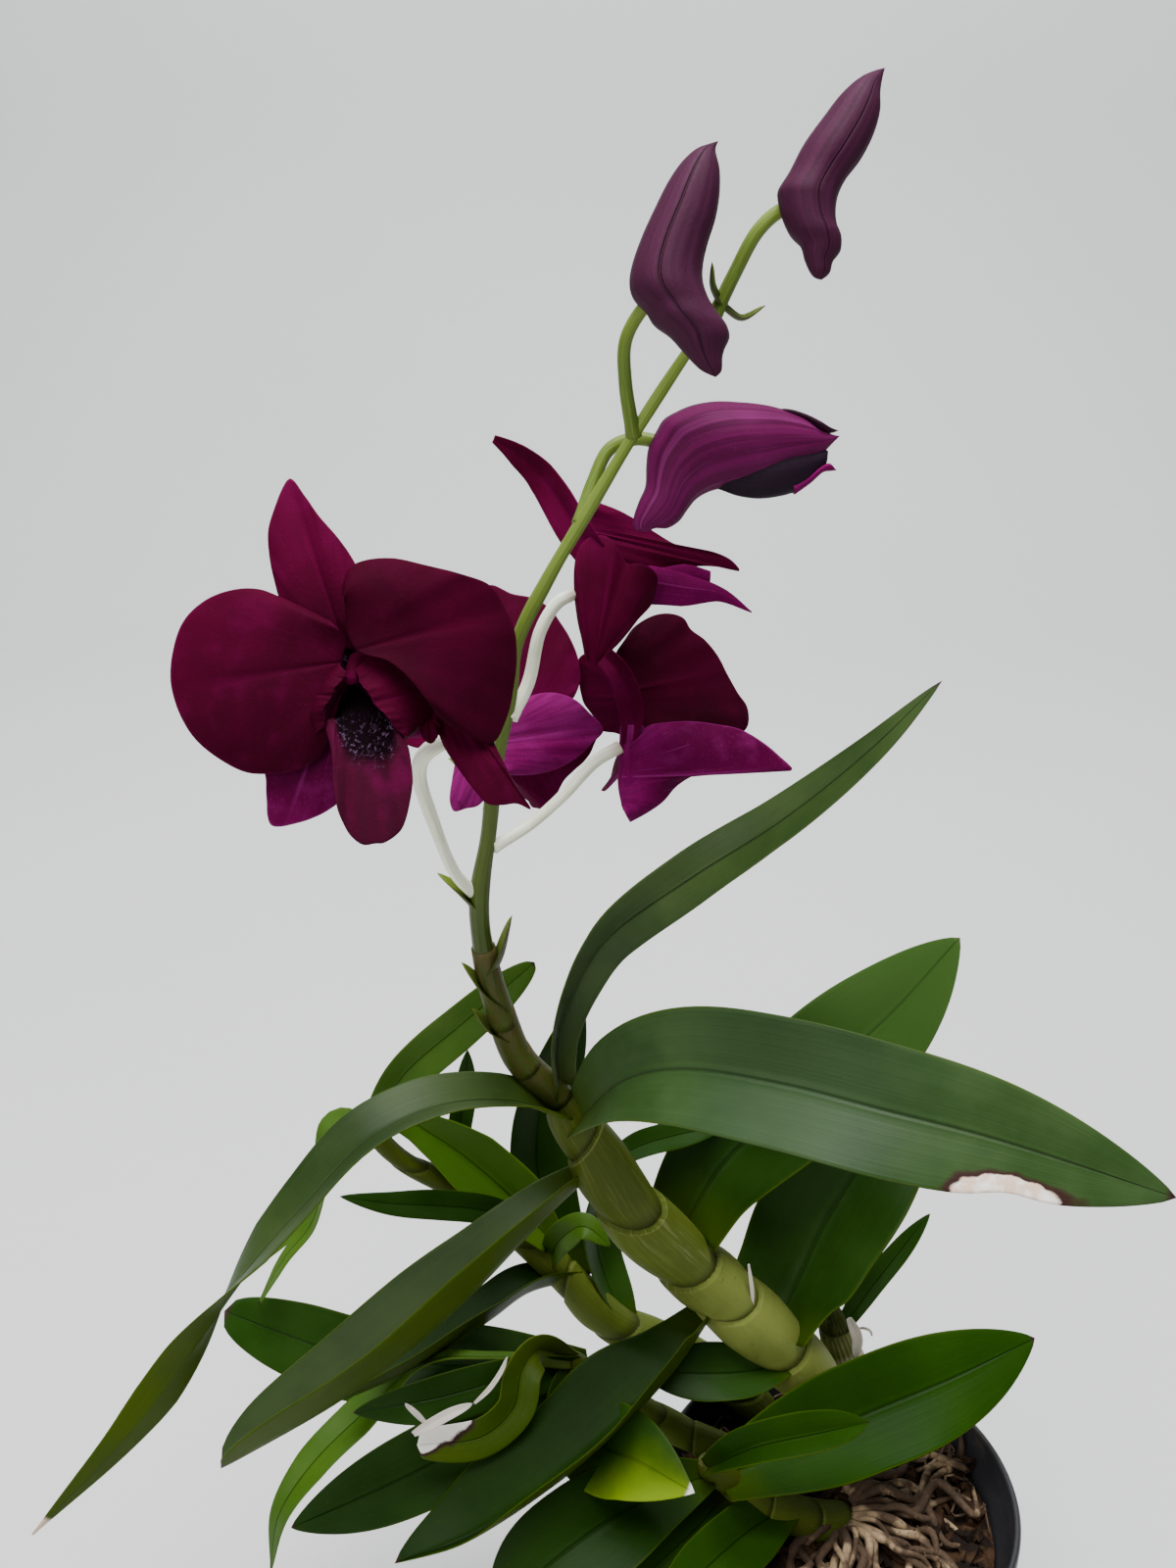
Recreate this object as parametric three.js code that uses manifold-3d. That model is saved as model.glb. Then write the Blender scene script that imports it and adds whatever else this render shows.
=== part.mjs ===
// A dendrobium orchid in flower, growing in its nursery pot.
// Millimetres, +Z up. The origin is the middle of the pot's underside; the plant leans toward -X
// and its open flower looks toward -Y.
import * as THREE from 'three';
import { mergeVertices } from 'three/addons/utils/BufferGeometryUtils.js';
import Module from 'manifold-3d';

const wasm = await Module();
wasm.setup();

// ---- Driving dimensions ------------------------------------------------------------------------
const POT_HEIGHT = 100;
const POT_RIM_RADIUS = 55;
const POT_BASE_RADIUS = 38;
const POT_WALL = 1.4;
const DRAIN_RADIUS = 4;
const MIX_TOP = 88;          // the bark mix stays a little below the rim
const CANE_RADIUS = 9.8;     // the flowering cane at its thickest
const SPIKE_RADIUS = 2.9;    // the flower stem just above its papery sheaths
const LEAF_THICKNESS = 1;
const PETAL_THICKNESS = 0.8;
const GAP = 0.3;             // between two pieces that touch
const SIMPLE = 0.1;          // detail finer than this is left out

// ---- Colours -----------------------------------------------------------------------------------
const LEAF = 0x35602f;
const LEAF_LIGHT = 0x5f8a35;
const LEAF_YELLOW = 0x93a52c;
const CANE = 0x7d8a45;
const STEM = 0x7c9a3f;
const WHITE_STEM = 0xd5d9c2;
const PETAL = 0x5a0a38;
const PETAL_BACK = 0x7a1650;
const BUD = 0x55203f;
const ROOT = 0xb59d77;
const BARK = 0x2c2019;
const PLASTIC = 0x26262a;

// ---- Curves and profiles -----------------------------------------------------------------------
const vec = ([x, y, z]) => new THREE.Vector3(x, y, z);
const route = (points) => new THREE.CatmullRomCurve3(points.map(vec));

// The value at t = 0..1 of a list of numbers, or of directions, spread evenly over that range.
function spread(list, t) {
  const at = t * (list.length - 1);
  const i = Math.min(Math.floor(at), Math.max(list.length - 2, 0));
  const j = Math.min(i + 1, list.length - 1);
  if (typeof list[0] === 'number') return list[i] + (list[j] - list[i]) * (at - i);
  return vec(list[i]).lerp(vec(list[j]), at - i);
}

// Repeatable scatter for bark chips and roots.
function scatter(seed) {
  let state = seed;
  return (low, high) => {
    state = (state * 16807) % 2147483647;
    return low + ((high - low) * state) / 2147483647;
  };
}

// ---- Solids ------------------------------------------------------------------------------------
function solid(geometry) {
  const bare = geometry.clone();
  bare.deleteAttribute('normal');
  bare.deleteAttribute('uv');
  const merged = mergeVertices(bare, 1e-4);
  return new wasm.Manifold(new wasm.Mesh({
    numProp: 3,
    vertProperties: Float32Array.from(merged.attributes.position.array),
    triVerts: Uint32Array.from(merged.index.array),
  }));
}

// The one body that stays when a cut leaves loose ends behind.
function largest(shape) {
  return shape.decompose().reduce((a, b) => (b.volume() > a.volume() ? b : a));
}

const join = (shapes) => shapes.reduce((a, b) => a.add(b));
const cut = (shape, others) => others.reduce((a, b) => a.subtract(b), shape);

// A round stem along a route; radius is a list of radii or a function of t.
function stem(points, radius, { sides = 6, rings = 8, grow = 0, oval = 1, up = [0, 0, 1] } = {}) {
  const line = route(points);
  const shape = new THREE.CylinderGeometry(1, 1, 1, sides, rings);
  const spots = shape.attributes.position;
  for (let i = 0; i < spots.count; i++) {
    const t = Math.min(Math.max(spots.getY(i) + 0.5, 0), 1);
    const along = line.getTangentAt(t);
    const flat = along.clone().cross(vec(up)).normalize();
    const rise = flat.clone().cross(along);
    const r = (typeof radius === 'function' ? radius(t) : spread(radius, t)) + grow;
    const end = t < 0.001 ? -grow : t > 0.999 ? grow : 0;
    const spot = line.getPointAt(t)
      .addScaledVector(along, end)
      .addScaledVector(rise, spots.getX(i) * r)
      .addScaledVector(flat, -spots.getZ(i) * r * oval);
    spots.setXYZ(i, spot.x, spot.y, spot.z);
  }
  return solid(shape);
}

// Half width of a blade at t, as a share of its widest half: a narrow foot, a belly and a tip.
function outline(t, { foot = 0.5, widest = 0.4, swell = 1.6, point = 0.8 }) {
  if (t < widest) return foot + (1 - foot) * Math.sin((Math.PI / 2) * (t / widest));
  const u = (t - widest) / (1 - widest);
  return Math.max(Math.cos((Math.PI / 2) * u ** swell), 0) ** point;
}

// A leaf, tepal or bract: a closed slab on a grid. Its midrib follows the route, its upper side
// looks along the directions in faces, and each half leaves the midrib at the angle fold and then
// bends by curl across its width. Both sides of the slab have the same triangles.
function blade(points, faces, width, options = {}) {
  const {
    fold = [0.5, 0.15], curl = [0.2, -0.2], thick = LEAF_THICKNESS, rows = 7, cols = 4,
    crowd = 1, shape = null, grow = 0,
  } = options;
  const line = route(points);
  const spots = [];
  for (const side of [1, -1]) {
    for (let r = 0; r <= rows; r++) {
      const t = 1 - (1 - r / rows) ** crowd;
      const along = line.getTangentAt(t);
      const face = spread(faces, t);
      face.addScaledVector(along, -face.dot(along)).normalize();
      const across = along.clone().cross(face);
      const share = shape ? spread(shape, t) : outline(t, options);
      const half = Math.max((share * width) / 2, 0.5) + grow;
      const lift = spread(fold, t);
      const bend = spread(curl, t) || 0.001;
      for (let c = 0; c <= cols; c++) {
        const a = (2 * c) / cols - 1;
        const s = Math.abs(a);
        const turn = lift + bend * s;
        const out = (half * (Math.sin(turn) - Math.sin(lift))) / bend;
        const rise = (half * (Math.cos(lift) - Math.cos(turn))) / bend;
        const depth = side * (thick / 2 + grow);
        const end = r === 0 ? -grow : r === rows ? grow : 0;
        const spot = line.getPointAt(t)
          .addScaledVector(along, end)
          .addScaledVector(across, Math.sign(a) * (out - depth * Math.sin(turn)))
          .addScaledVector(face, rise + depth * (a === 0 ? 1 : Math.cos(turn)));
        spots.push(spot.x, spot.y, spot.z);
      }
    }
  }
  const at = (r, c) => r * (cols + 1) + c;
  const under = (rows + 1) * (cols + 1);
  const triangles = [];
  const edge = [];
  for (let r = 0; r < rows; r++) {
    for (let c = 0; c < cols; c++) {
      const [p, q, s, u] = [at(r, c), at(r, c + 1), at(r + 1, c), at(r + 1, c + 1)];
      const pair = c < cols / 2 ? [[p, q, s], [q, u, s]] : [[p, q, u], [p, u, s]];
      for (const [i, j, k] of pair) triangles.push(i, j, k, k + under, j + under, i + under);
    }
    edge.push([at(r, cols), at(r + 1, cols)], [at(r + 1, 0), at(r, 0)]);
  }
  for (let c = 0; c < cols; c++) edge.push([at(0, c), at(0, c + 1)], [at(rows, c + 1), at(rows, c)]);
  for (const [p, q] of edge) triangles.push(q, p, p + under, q, p + under, q + under);
  const slab = new THREE.BufferGeometry();
  slab.setAttribute('position', new THREE.Float32BufferAttribute(spots, 3));
  slab.setIndex(triangles);
  return solid(slab);
}

// ---- The scene graph ---------------------------------------------------------------------------
const orchid = new THREE.Group();
orchid.name = 'dendrobium_orchid';

function add(name, shape, color, roughness = 0.5) {
  const data = largest(shape.simplify(SIMPLE)).getMesh();
  const geometry = new THREE.BufferGeometry();
  geometry.setAttribute('position', new THREE.Float32BufferAttribute(data.vertProperties, 3));
  geometry.setIndex(Array.from(data.triVerts));
  geometry.computeVertexNormals();
  const material = new THREE.MeshStandardMaterial({ color, roughness, metalness: 0 });
  const mesh = new THREE.Mesh(geometry, material);
  mesh.name = name;
  orchid.add(mesh);
  return shape;
}

// ---- Pot ---------------------------------------------------------------------------------------
// Tapered pot with a rolled rim, a solid middle to its floor and drain holes around it.
const wallRadius = (z) => POT_BASE_RADIUS + ((POT_RIM_RADIUS - 3.4 - POT_BASE_RADIUS) * z) / 92;
const potProfile = [
  [0, 0], [POT_BASE_RADIUS - 1.5, 0], [POT_BASE_RADIUS, 1.5], [wallRadius(90), 90],
  [POT_RIM_RADIUS, 91], [POT_RIM_RADIUS, POT_HEIGHT - 0.8], [POT_RIM_RADIUS - 0.7, POT_HEIGHT],
  [POT_RIM_RADIUS - 2, POT_HEIGHT - 0.5], [POT_RIM_RADIUS - 2.2, 92.5], [wallRadius(90) - POT_WALL, 89],
  [wallRadius(3) - POT_WALL, 3], [wallRadius(2) - 2.5, 2], [0, 2],
].map(([r, z]) => new THREE.Vector2(r, z));
function drain(angle) {
  const hole = new THREE.CylinderGeometry(DRAIN_RADIUS, DRAIN_RADIUS, 8, 8);
  hole.rotateX(Math.PI / 2).translate(26 * Math.cos(angle), 26 * Math.sin(angle), 1);
  return solid(hole);
}
const drains = [0, 1, 2, 3, 4, 5].map((i) => drain(((i + 0.5) * Math.PI) / 3));
const turned = (profile, sides) => solid(new THREE.LatheGeometry(profile, sides).rotateX(Math.PI / 2));
const pot = cut(turned(potProfile, 28), drains);
add('pot', pot, PLASTIC, 0.45);

// ---- Canes -------------------------------------------------------------------------------------
// Each cane is a swollen jointed stem. Every joint wears a sheath that flares to its upper edge.
function jointed(body, joints, flare) {
  return (t) => {
    const step = (t * joints) % 1;
    return spread(body, t) * (1 + flare * (step < 0.8 ? step / 0.8 : (1 - step) / 0.2) - flare / 2);
  };
}
const CANES = {
  flowering_cane: {
    points: [[11, 26, 86], [5, 25, 102], [-8, 22, 125], [-35, 17, 161], [-62, 11, 196], [-76, 8, 224],
      [-84, 5, 243]],
    radius: jointed([7, 8.2, 9.6, CANE_RADIUS, 9.2, 9.2, 7.8, 5.4], 7, 0.16), sides: 9, rings: 21,
  },
  rear_cane: {
    points: [[-13, 33, 85], [-23, 36, 99], [-45, 40, 115], [-69, 42, 127], [-89, 44, 151], [-116, 44, 178],
      [-134, 42, 192], [-144, 40, 208]],
    radius: jointed([5, 6.2, 6.6, 6.2, 5, 4, 3.2, 2.6], 8, 0.2), sides: 7, rings: 24,
  },
  young_cane: {
    points: [[3, 0, 87], [-5, -4, 91], [-17, -8, 100], [-30, -11, 112], [-43, -14, 128]],
    radius: jointed([5.5, 6, 5, 4.2, 3.4], 4, 0.15), sides: 8, rings: 12,
  },
  spent_cane: {
    points: [[13, 41, 85], [13, 42, 96], [7, 43, 115], [0, 44, 135]],
    radius: jointed([4.5, 6, 6, 4.8, 2.5], 4, 0.12), sides: 8, rings: 12,
  },
  side_cane: {
    points: [[-14, 20, 86], [-38, 13, 104], [-58, 10, 121], [-76, 8, 139], [-83, 7, 147]],
    radius: jointed([4.5, 5, 4.6, 4, 3.2], 5, 0.15), sides: 7, rings: 15,
  },
};
const caneSolid = (name, grow = 0) => stem(CANES[name].points, CANES[name].radius,
  { sides: CANES[name].sides, rings: CANES[name].rings, grow, up: [0.3, 1, 0.2] });

// ---- Rhizome and roots -------------------------------------------------------------------------
// The rhizome creeps over the mix and joins the canes; pale roots run out from it to the rim.
const random = scatter(11);
const rootPaths = [];
function root(x, y, angle, reach) {
  const path = [[x, y, 90]];
  for (let k = 1; k <= 4; k++) {
    const bend = angle + random(-0.3, 0.3);
    const away = (reach * k) / 4;
    const [u, v] = [x + away * Math.cos(bend), y + away * Math.sin(bend)];
    const limit = Math.min(1, 47 / Math.hypot(u, v));
    path.push([u * limit, v * limit, MIX_TOP + (k === 4 ? 4 : random(4.5, 8))]);
  }
  rootPaths.push({ path, radius: random(0.9, 1.6) });
}
for (let i = 0; i < 11; i++) {
  const angle = -2.1 + i * 0.25;
  root(2 + 3 * Math.cos(angle), 2 + 5 * Math.sin(angle), angle, random(34, 48));
}
root(-3, 9, 3.05, 38);
const rootWork = (grow) => join([
  stem([[14, 39, 85], [12, 30, 88], [4, 20, 89], [-6, 18, 88], [-14, 26, 86], [-16, 34, 83]],
    [3.4, 4.2, 4.4, 4.2, 3.8, 3], { sides: 8, rings: 8, grow, up: [0, 0.2, 1] }),
  stem([[6, 22, 89], [4, 11, 88], [1, 0, 86]], [4, 4, 3.6], { sides: 8, rings: 3, grow }),
  ...rootPaths.map(({ path, radius }) => stem(path, [radius * 1.2, radius, radius, radius * 0.5],
    { sides: 4, rings: 5, grow })),
]);
const roots = rootWork(0);
const fatRoots = rootWork(2 * GAP);
add('rhizome_and_roots', largest(roots), ROOT, 0.8);

const canes = {};
const fatCanes = {};
for (const name of Object.keys(CANES)) {
  canes[name] = largest(cut(caneSolid(name), [fatRoots]));
  fatCanes[name] = caneSolid(name, GAP);
  add(name, canes[name], name === 'spent_cane' ? 0x6d6438 : CANE, 0.5);
}

// ---- Potting mix -------------------------------------------------------------------------------
// A plug of bark mix with loose chips half sunk in its top.
const mixProfile = [
  [0, 2.4], [wallRadius(3) - POT_WALL - 1, 2.4], [wallRadius(4) - POT_WALL - GAP, 4],
  [wallRadius(85) - POT_WALL - GAP, 85], [wallRadius(85) - POT_WALL - 4, MIX_TOP - 1], [26, MIX_TOP],
  [0, MIX_TOP],
].map(([r, z]) => new THREE.Vector2(r, z));
const chips = [];
for (let i = 0; i < 9; i++) {
  const chip = new THREE.BoxGeometry(random(5, 11), random(4, 7), random(3, 5));
  const away = 42 * Math.sqrt(random(0, 1));
  const angle = random(0, 6.283);
  chip.rotateX(random(-0.5, 0.5)).rotateY(random(-0.5, 0.5)).rotateZ(random(0, 3.14));
  chip.translate(away * Math.cos(angle), away * Math.sin(angle), MIX_TOP + random(-1.5, 0));
  chips.push(solid(chip));
}
const plug = turned(mixProfile, 24);
add('potting_mix', cut(join([plug, ...chips]), [fatRoots, ...Object.values(fatCanes)]), BARK, 0.95);

// ---- Flower stem -------------------------------------------------------------------------------
// It leaves the top of the flowering cane and zigzags a little at each flower stalk. Dry papery
// sheaths wrap its foot, and a small pointed bract sits under each stalk.
const SPIKE = [[-84, 5, 242], [-94, 3, 255], [-99, 2, 271], [-102, 0, 287], [-103, -2, 305], [-100, -3, 325],
  [-98, -4, 341], [-94, -4, 361], [-92, -4, 374], [-85, -2, 388], [-76, 0, 403], [-65, 2, 421], [-55, 4, 436],
  [-47, 6, 447]];
const spikeRadius = [3.4, 3.6, 3.3, SPIKE_RADIUS, 2.5, 2.1, 1.9, 1.9, 1.8, 1.7, 1.5, 1.4, 1.3];
const spikeStem = (grow) => stem(SPIKE, spikeRadius, { sides: 6, rings: 24, grow, up: [0, 1, 0] });
const bract = (points, face, width) => blade(points, [face], width,
  { fold: [0.9, 0.4], curl: [0.1], thick: 0.8, rows: 3, cols: 2, foot: 0.8, widest: 0.2 });
const bracts = [
  bract([[-98, 1, 272], [-103, -1, 278], [-108, -2, 288]], [0.9, -0.2, 0.4], 6),
  bract([[-102, 0, 281], [-98, -1, 288], [-95, -1, 301]], [-0.9, -0.2, 0.3], 6),
  bract([[-103, -2, 301], [-107, -3, 307], [-113, -3, 314]], [0.8, -0.2, 0.6], 5),
  bract([[-97, 1, 262], [-102, 0, 266], [-106, 0, 273]], [0.9, -0.2, 0.4], 6),
  bract([[-98, -4, 337], [-103, -4, 340], [-109, -4, 345]], [0.6, -0.3, 0.8], 4),
  bract([[-48, 5, 446], [-50, 4, 450], [-50, 3, 455]], [0.9, -0.3, 0.1], 3),
  bract([[-48, 6, 446], [-43, 6, 443], [-38, 6, 446]], [0, -0.2, 1], 3),
];
const spike = cut(join([spikeStem(0), ...bracts]), [fatCanes.flowering_cane]);
add('flower_spike', largest(spike), STEM, 0.5);
const fatSpike = join([spikeStem(GAP), ...bracts]);

// ---- Flower stalks -----------------------------------------------------------------------------
const STALKS = {
  stalk_1: { points: [[-103, -1, 306], [-108, -6, 315], [-112, -14, 333], [-113, -24, 350], [-112, -30, 362],
    [-115, -36, 373]], radius: [2, 1.8, 1.8, 2, 2.2], color: WHITE_STEM },
  stalk_2: { points: [[-100, -1, 330], [-98, 8, 334], [-99, 13, 338], [-100, 17, 340]],
    radius: [1.8, 1.6, 1.8], color: WHITE_STEM },
  stalk_3: { points: [[-99, -3, 321], [-90, 4, 324], [-82, 8, 330], [-74, 13, 337], [-68, 15, 340]],
    radius: [1.9, 1.7, 1.8, 2], color: WHITE_STEM },
  stalk_4: { points: [[-94, -4, 355], [-90, 1, 362], [-87, 4, 374], [-83, 6, 380], [-79, 7, 382]],
    radius: [1.9, 1.9, 1.8, 1.8], color: WHITE_STEM },
  stalk_5: { points: [[-78, 0, 400], [-75, 5, 408], [-71, 9, 415], [-65, 10, 417], [-58, 8, 416]],
    radius: [1.6, 1.5, 1.5, 1.6], color: STEM },
  stalk_6: { points: [[-66, 2, 419], [-68, 0, 431], [-68, -2, 440], [-64, -3, 447], [-59, -4, 451]],
    radius: [1.7, 1.5, 1.4, 1.4], color: STEM },
  stalk_7: { points: [[-49, 5, 444], [-45, 7, 452], [-40, 8, 461], [-35, 9, 465], [-29, 9, 466]],
    radius: [1.6, 1.5, 1.5, 1.5], color: STEM },
};
const fatStalks = {};
for (const [name, { points, radius, color }] of Object.entries(STALKS)) {
  add(name, largest(cut(stem(points, radius, { up: [0.2, 1, 0.1] }), [fatSpike])), color, 0.45);
  fatStalks[name] = stem(points, radius, { grow: GAP, up: [0.2, 1, 0.1] });
}

// ---- Flowers -----------------------------------------------------------------------------------
// A flower has an upper sepal, two broad petals, two lower sepals that join in a chin below its
// stalk, a short column, and a lip that is a piece of its own. Each is drawn about its centre with
// +Z toward the open side of the room, tipped back by TIP degrees; the first flower looks that way
// and the other three turn their backs to it.
const TIP = 24;
const SEPAL = { fold: [0.3, 0.1], curl: [0.2], thick: PETAL_THICKNESS, rows: 5, cols: 2, foot: 0.5,
  widest: 0.4, swell: 1.3, point: 0.9 };
const WING = { fold: [0.1, 0], curl: [0.2, 0.1], thick: PETAL_THICKNESS, rows: 5, cols: 4, foot: 0.25,
  widest: 0.6, swell: 1.8, point: 0.5, crowd: 1.5 };
const FLOWERS = {
  flower_1: {
    centre: [-118, -44, 378], stalk: 'stalk_1', color: PETAL,
    chin: [[0, 4, -3], [0, -3, -4], [1, -8, -9], [3, -11, -12]],
    column: [[0, -2, -4], [0, 1, 1], [0, 0, 7]],
    lip: [[0, -5, 1], [1, -8, 8], [1, -15, 13], [0, -31, 11]],
    lipFaces: [[0, 0.7, 0.7], [0, 0.9, 0.9], [0, 0, 1]], lipWidth: 27,
    tepals: [
      [[[0, 1, -1], [-7, 13, 0], [-14, 26, 0], [-19, 43, -3]], [[0, 0, 1]], 18, SEPAL],
      [[[-2, -3, -2], [-8, -11, -2], [-15, -19, -3], [-22, -27, -4]], [[0, 0, 1]], 16, SEPAL],
      [[[2, -2, -1], [10, -7, 0], [20, -17, 1], [30, -25, 0]], [[-0.2, 0, 1]], 12, SEPAL],
      [[[-2, 0, 0], [-15, 1, 2], [-29, 0, 2], [-43, -1, -2]], [[0.1, 0, 1]], 37,
        { ...WING, swell: 1.4, point: 0.55 }],
      [[[-5, 5, 1], [4, 5, 5], [14, 1, 5], [24, -4, -3]], [[-0.3, 0, 1], [0.3, 0, 1], [0.7, 0, 0.7]], 40,
        { ...WING, foot: 0.75, widest: 0.45 }],
    ],
  },
  flower_2: {
    centre: [-101, 20, 341], stalk: 'stalk_2', color: PETAL_BACK,
    chin: [[0, 2, 0], [-2, -6, 1], [-5, -13, 2], [-7, -19, 2]],
    column: [[0, 0, 0], [1, 1, -4], [2, 1, -8]],
    lip: [[1, -6, -2], [3, -8, -8], [7, -12, -13], [14, -19, -16]],
    lipFaces: [[0, 1, -0.4], [0.2, 0.8, -0.5]], lipWidth: 20,
    tepals: [
      [[[-1, 3, -2], [-5, 13, -5], [-9, 23, -8], [-12, 30, -12]], [[-0.2, 0, -1]], 14, SEPAL],
      [[[2, -3, 1], [10, -1, 2], [19, 1, 2], [27, 2, 1]], [[0.1, 0.1, -1]], 20,
        { ...SEPAL, cols: 4, shape: [0.6, 0.9, 1, 0.85, 0.55, 0.1] }],
      [[[0, -4, -2], [7, -5, -8], [13, -5, -14], [19, -5, -19]], [[0.4, 0.2, -1]], 13, SEPAL],
      [[[2, 2, -1], [6, 13, -4], [10, 25, -6], [13, 36, -10]], [[0.2, 0, -1]], 25, WING],
      [[[-2, 2, -2], [-10, 6, -7], [-18, 9, -13], [-25, 11, -19]], [[-0.5, 0, -1]], 24, WING],
    ],
  },
  flower_3: {
    centre: [-76, 8, 383], stalk: 'stalk_4', color: PETAL_BACK,
    chin: [[0, 8, -4], [2, -1, -2], [3, -10, 0], [2, -17, 1]],
    column: [[0, 0, -2], [5, 1, -4], [9, 1, -6]],
    lip: [[3, -7, -4], [8, -7, -9], [13, -7, -14], [17, -9, -20]], lipFaces: [[-0.1, 1, -0.2]], lipWidth: 16,
    tepals: [
      [[[0, 6, -3], [-5, 18, -5], [-12, 29, -7], [-21, 36, -9]], [[0.9, 0.3, -0.6]], 10, SEPAL],
      [[[2, -17, 2], [4, -8, 3], [7, 1, 3], [8, 10, 1]], [[0.3, 0, -1]], 20,
        { ...SEPAL, cols: 4, fold: [-0.5, -0.2], shape: [0.25, 0.75, 1, 0.95, 0.6] }],
      [[[2, -1, -2], [14, 0, -6], [26, -2, -10], [38, -6, -13]], [[0.2, 0.3, -1]], 12, SEPAL],
      [[[1, 4, -3], [12, 8, -9], [24, 6, -14], [36, 1, -20]], [[-0.2, 1, -0.2]], 18,
        { ...WING, widest: 0.4 }],
      [[[0, 4, -4], [-6, 13, -10], [-12, 22, -13], [-18, 30, -15]], [[0.7, 0.2, -0.7]], 12, WING],
    ],
  },
  flower_4: {
    centre: [-65, 18, 341], stalk: 'stalk_3', color: PETAL_BACK,
    chin: [[0, 3, -1], [0, -6, 0], [-1, -13, 1], [-1, -19, 2]],
    column: [[0, 0, 0], [2, 1, -5], [4, 2, -9]],
    lip: [[1, -6, -3], [4, -8, -9], [7, -11, -15], [12, -17, -20]], lipFaces: [[-0.1, 1, -0.3]], lipWidth: 20,
    tepals: [
      [[[0, 2, -1], [-3, 9, -3], [-7, 18, -5], [-9, 28, -9]], [[-0.3, 0, -1]], 13, SEPAL],
      [[[-1, -10, 2], [9, -8, 1], [20, -6, 0], [31, -7, -3], [41, -10, -7]], [[0.1, 0.1, -1]], 22,
        { ...SEPAL, cols: 4, shape: [0.75, 0.92, 0.84, 0.62, 0.4, 0.07] }],
      [[[-1, -6, -3], [-2, -8, -10], [-4, -9, -17], [-5, -10, -24]], [[-0.8, 0.3, -0.2]], 13, SEPAL],
      [[[2, 2, -3], [9, 9, -8], [17, 17, -12], [26, 24, -14]], [[0.3, 0.3, -0.9]], 32, WING],
      [[[-2, 2, -4], [-7, 7, -9], [-12, 12, -14], [-16, 15, -21]], [[-0.6, 0.1, -0.8]], 22, WING],
    ],
  },
};
const lipOptions = { fold: [1.1, 0.9, 0.3, 0.1], curl: [0.3, 0.2], thick: PETAL_THICKNESS, rows: 6,
  cols: 4, shape: [0.5, 0.95, 0.95, 0.6, 0.66, 0.66, 0.55, 0.2] };
for (const [name, flower] of Object.entries(FLOWERS)) {
  const { centre, stalk, color, chin, column, lip, lipFaces, lipWidth, tepals } = flower;
  const tip = THREE.MathUtils.degToRad(90 - TIP);
  const place = new THREE.Matrix4().makeRotationX(tip).setPosition(vec(centre));
  const placed = (shape) => shape.transform(Array.from(place.elements));
  const core = (grow) => [
    stem(chin, [3.6, 4.6, 3.4, 1.3], { sides: 6, rings: 5, grow, up: [1, 0.1, 0.2] }),
    stem(column, [3.2, 2.4, 1.8], { sides: 5, rings: 2, grow, up: [1, 0.3, 0.1] }),
  ];
  const body = join([...tepals.map((tepal) => blade(...tepal)), ...core(0)]);
  add(name, largest(cut(placed(body), [fatStalks[stalk], fatSpike])), color, 0.6);
  const lipBlade = blade(lip, lipFaces, lipWidth, lipOptions);
  const fatTepals = tepals.map(([points, faces, width, options]) => blade(points, faces, width,
    { ...options, grow: GAP }));
  add(`${name}_lip`, largest(placed(cut(lipBlade, [...core(GAP), ...fatTepals]))), PETAL, 0.7);
}

// ---- Buds --------------------------------------------------------------------------------------
// A bud is a boot: a beaked body above, a blunt chin below, and the stalk at the heel.
const BUDS = {
  half_open_bud: {
    points: [[-65, 6, 397], [-61, 7, 406], [-54, 8, 414], [-43, 8, 415], [-32, 8, 416], [-25, 8, 416],
      [-20, 8, 419]],
    radius: [2.6, 5.2, 9, 10.8, 11, 10.4, 8, 4.5, 0.6], oval: 0.9, stalk: 'stalk_5',
    tips: [[[-42, 8, 411], [-31, 8, 408], [-20, 8, 409]], [[-40, 14, 414], [-30, 15, 413], [-22, 14, 412]]],
  },
  bud_lower: {
    points: [[-49, -4, 433], [-51, -4, 440], [-56, -4, 447], [-59, -4, 455], [-58, -3, 464], [-55, -3, 473],
      [-50, -2, 479]],
    radius: [2.4, 3.6, 5.4, 7.8, 8.8, 9, 8.2, 5.6, 0.5], oval: 0.9, stalk: 'stalk_6', tips: [],
  },
  bud_upper: {
    points: [[-26, 8, 451], [-27, 8, 457], [-28, 8, 465], [-28, 9, 471], [-24, 10, 481], [-19, 10, 487],
      [-16, 11, 492]],
    radius: [2.2, 3.3, 4.9, 6.4, 6.8, 6.6, 5.4, 3.2, 0.5], oval: 0.9, stalk: 'stalk_7', tips: [],
  },
};
for (const [name, { points, radius, oval, stalk, tips }] of Object.entries(BUDS)) {
  const body = join([stem(points, radius, { sides: 8, rings: 10, oval, up: [0.1, 1, 0] }),
    ...tips.map((tip) => stem(tip, [5, 4, 0.5], { sides: 6, rings: 4, up: [0.1, 1, 0] }))]);
  add(name, largest(cut(body, [fatStalks[stalk], fatSpike])), BUD, 0.55);
}

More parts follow.
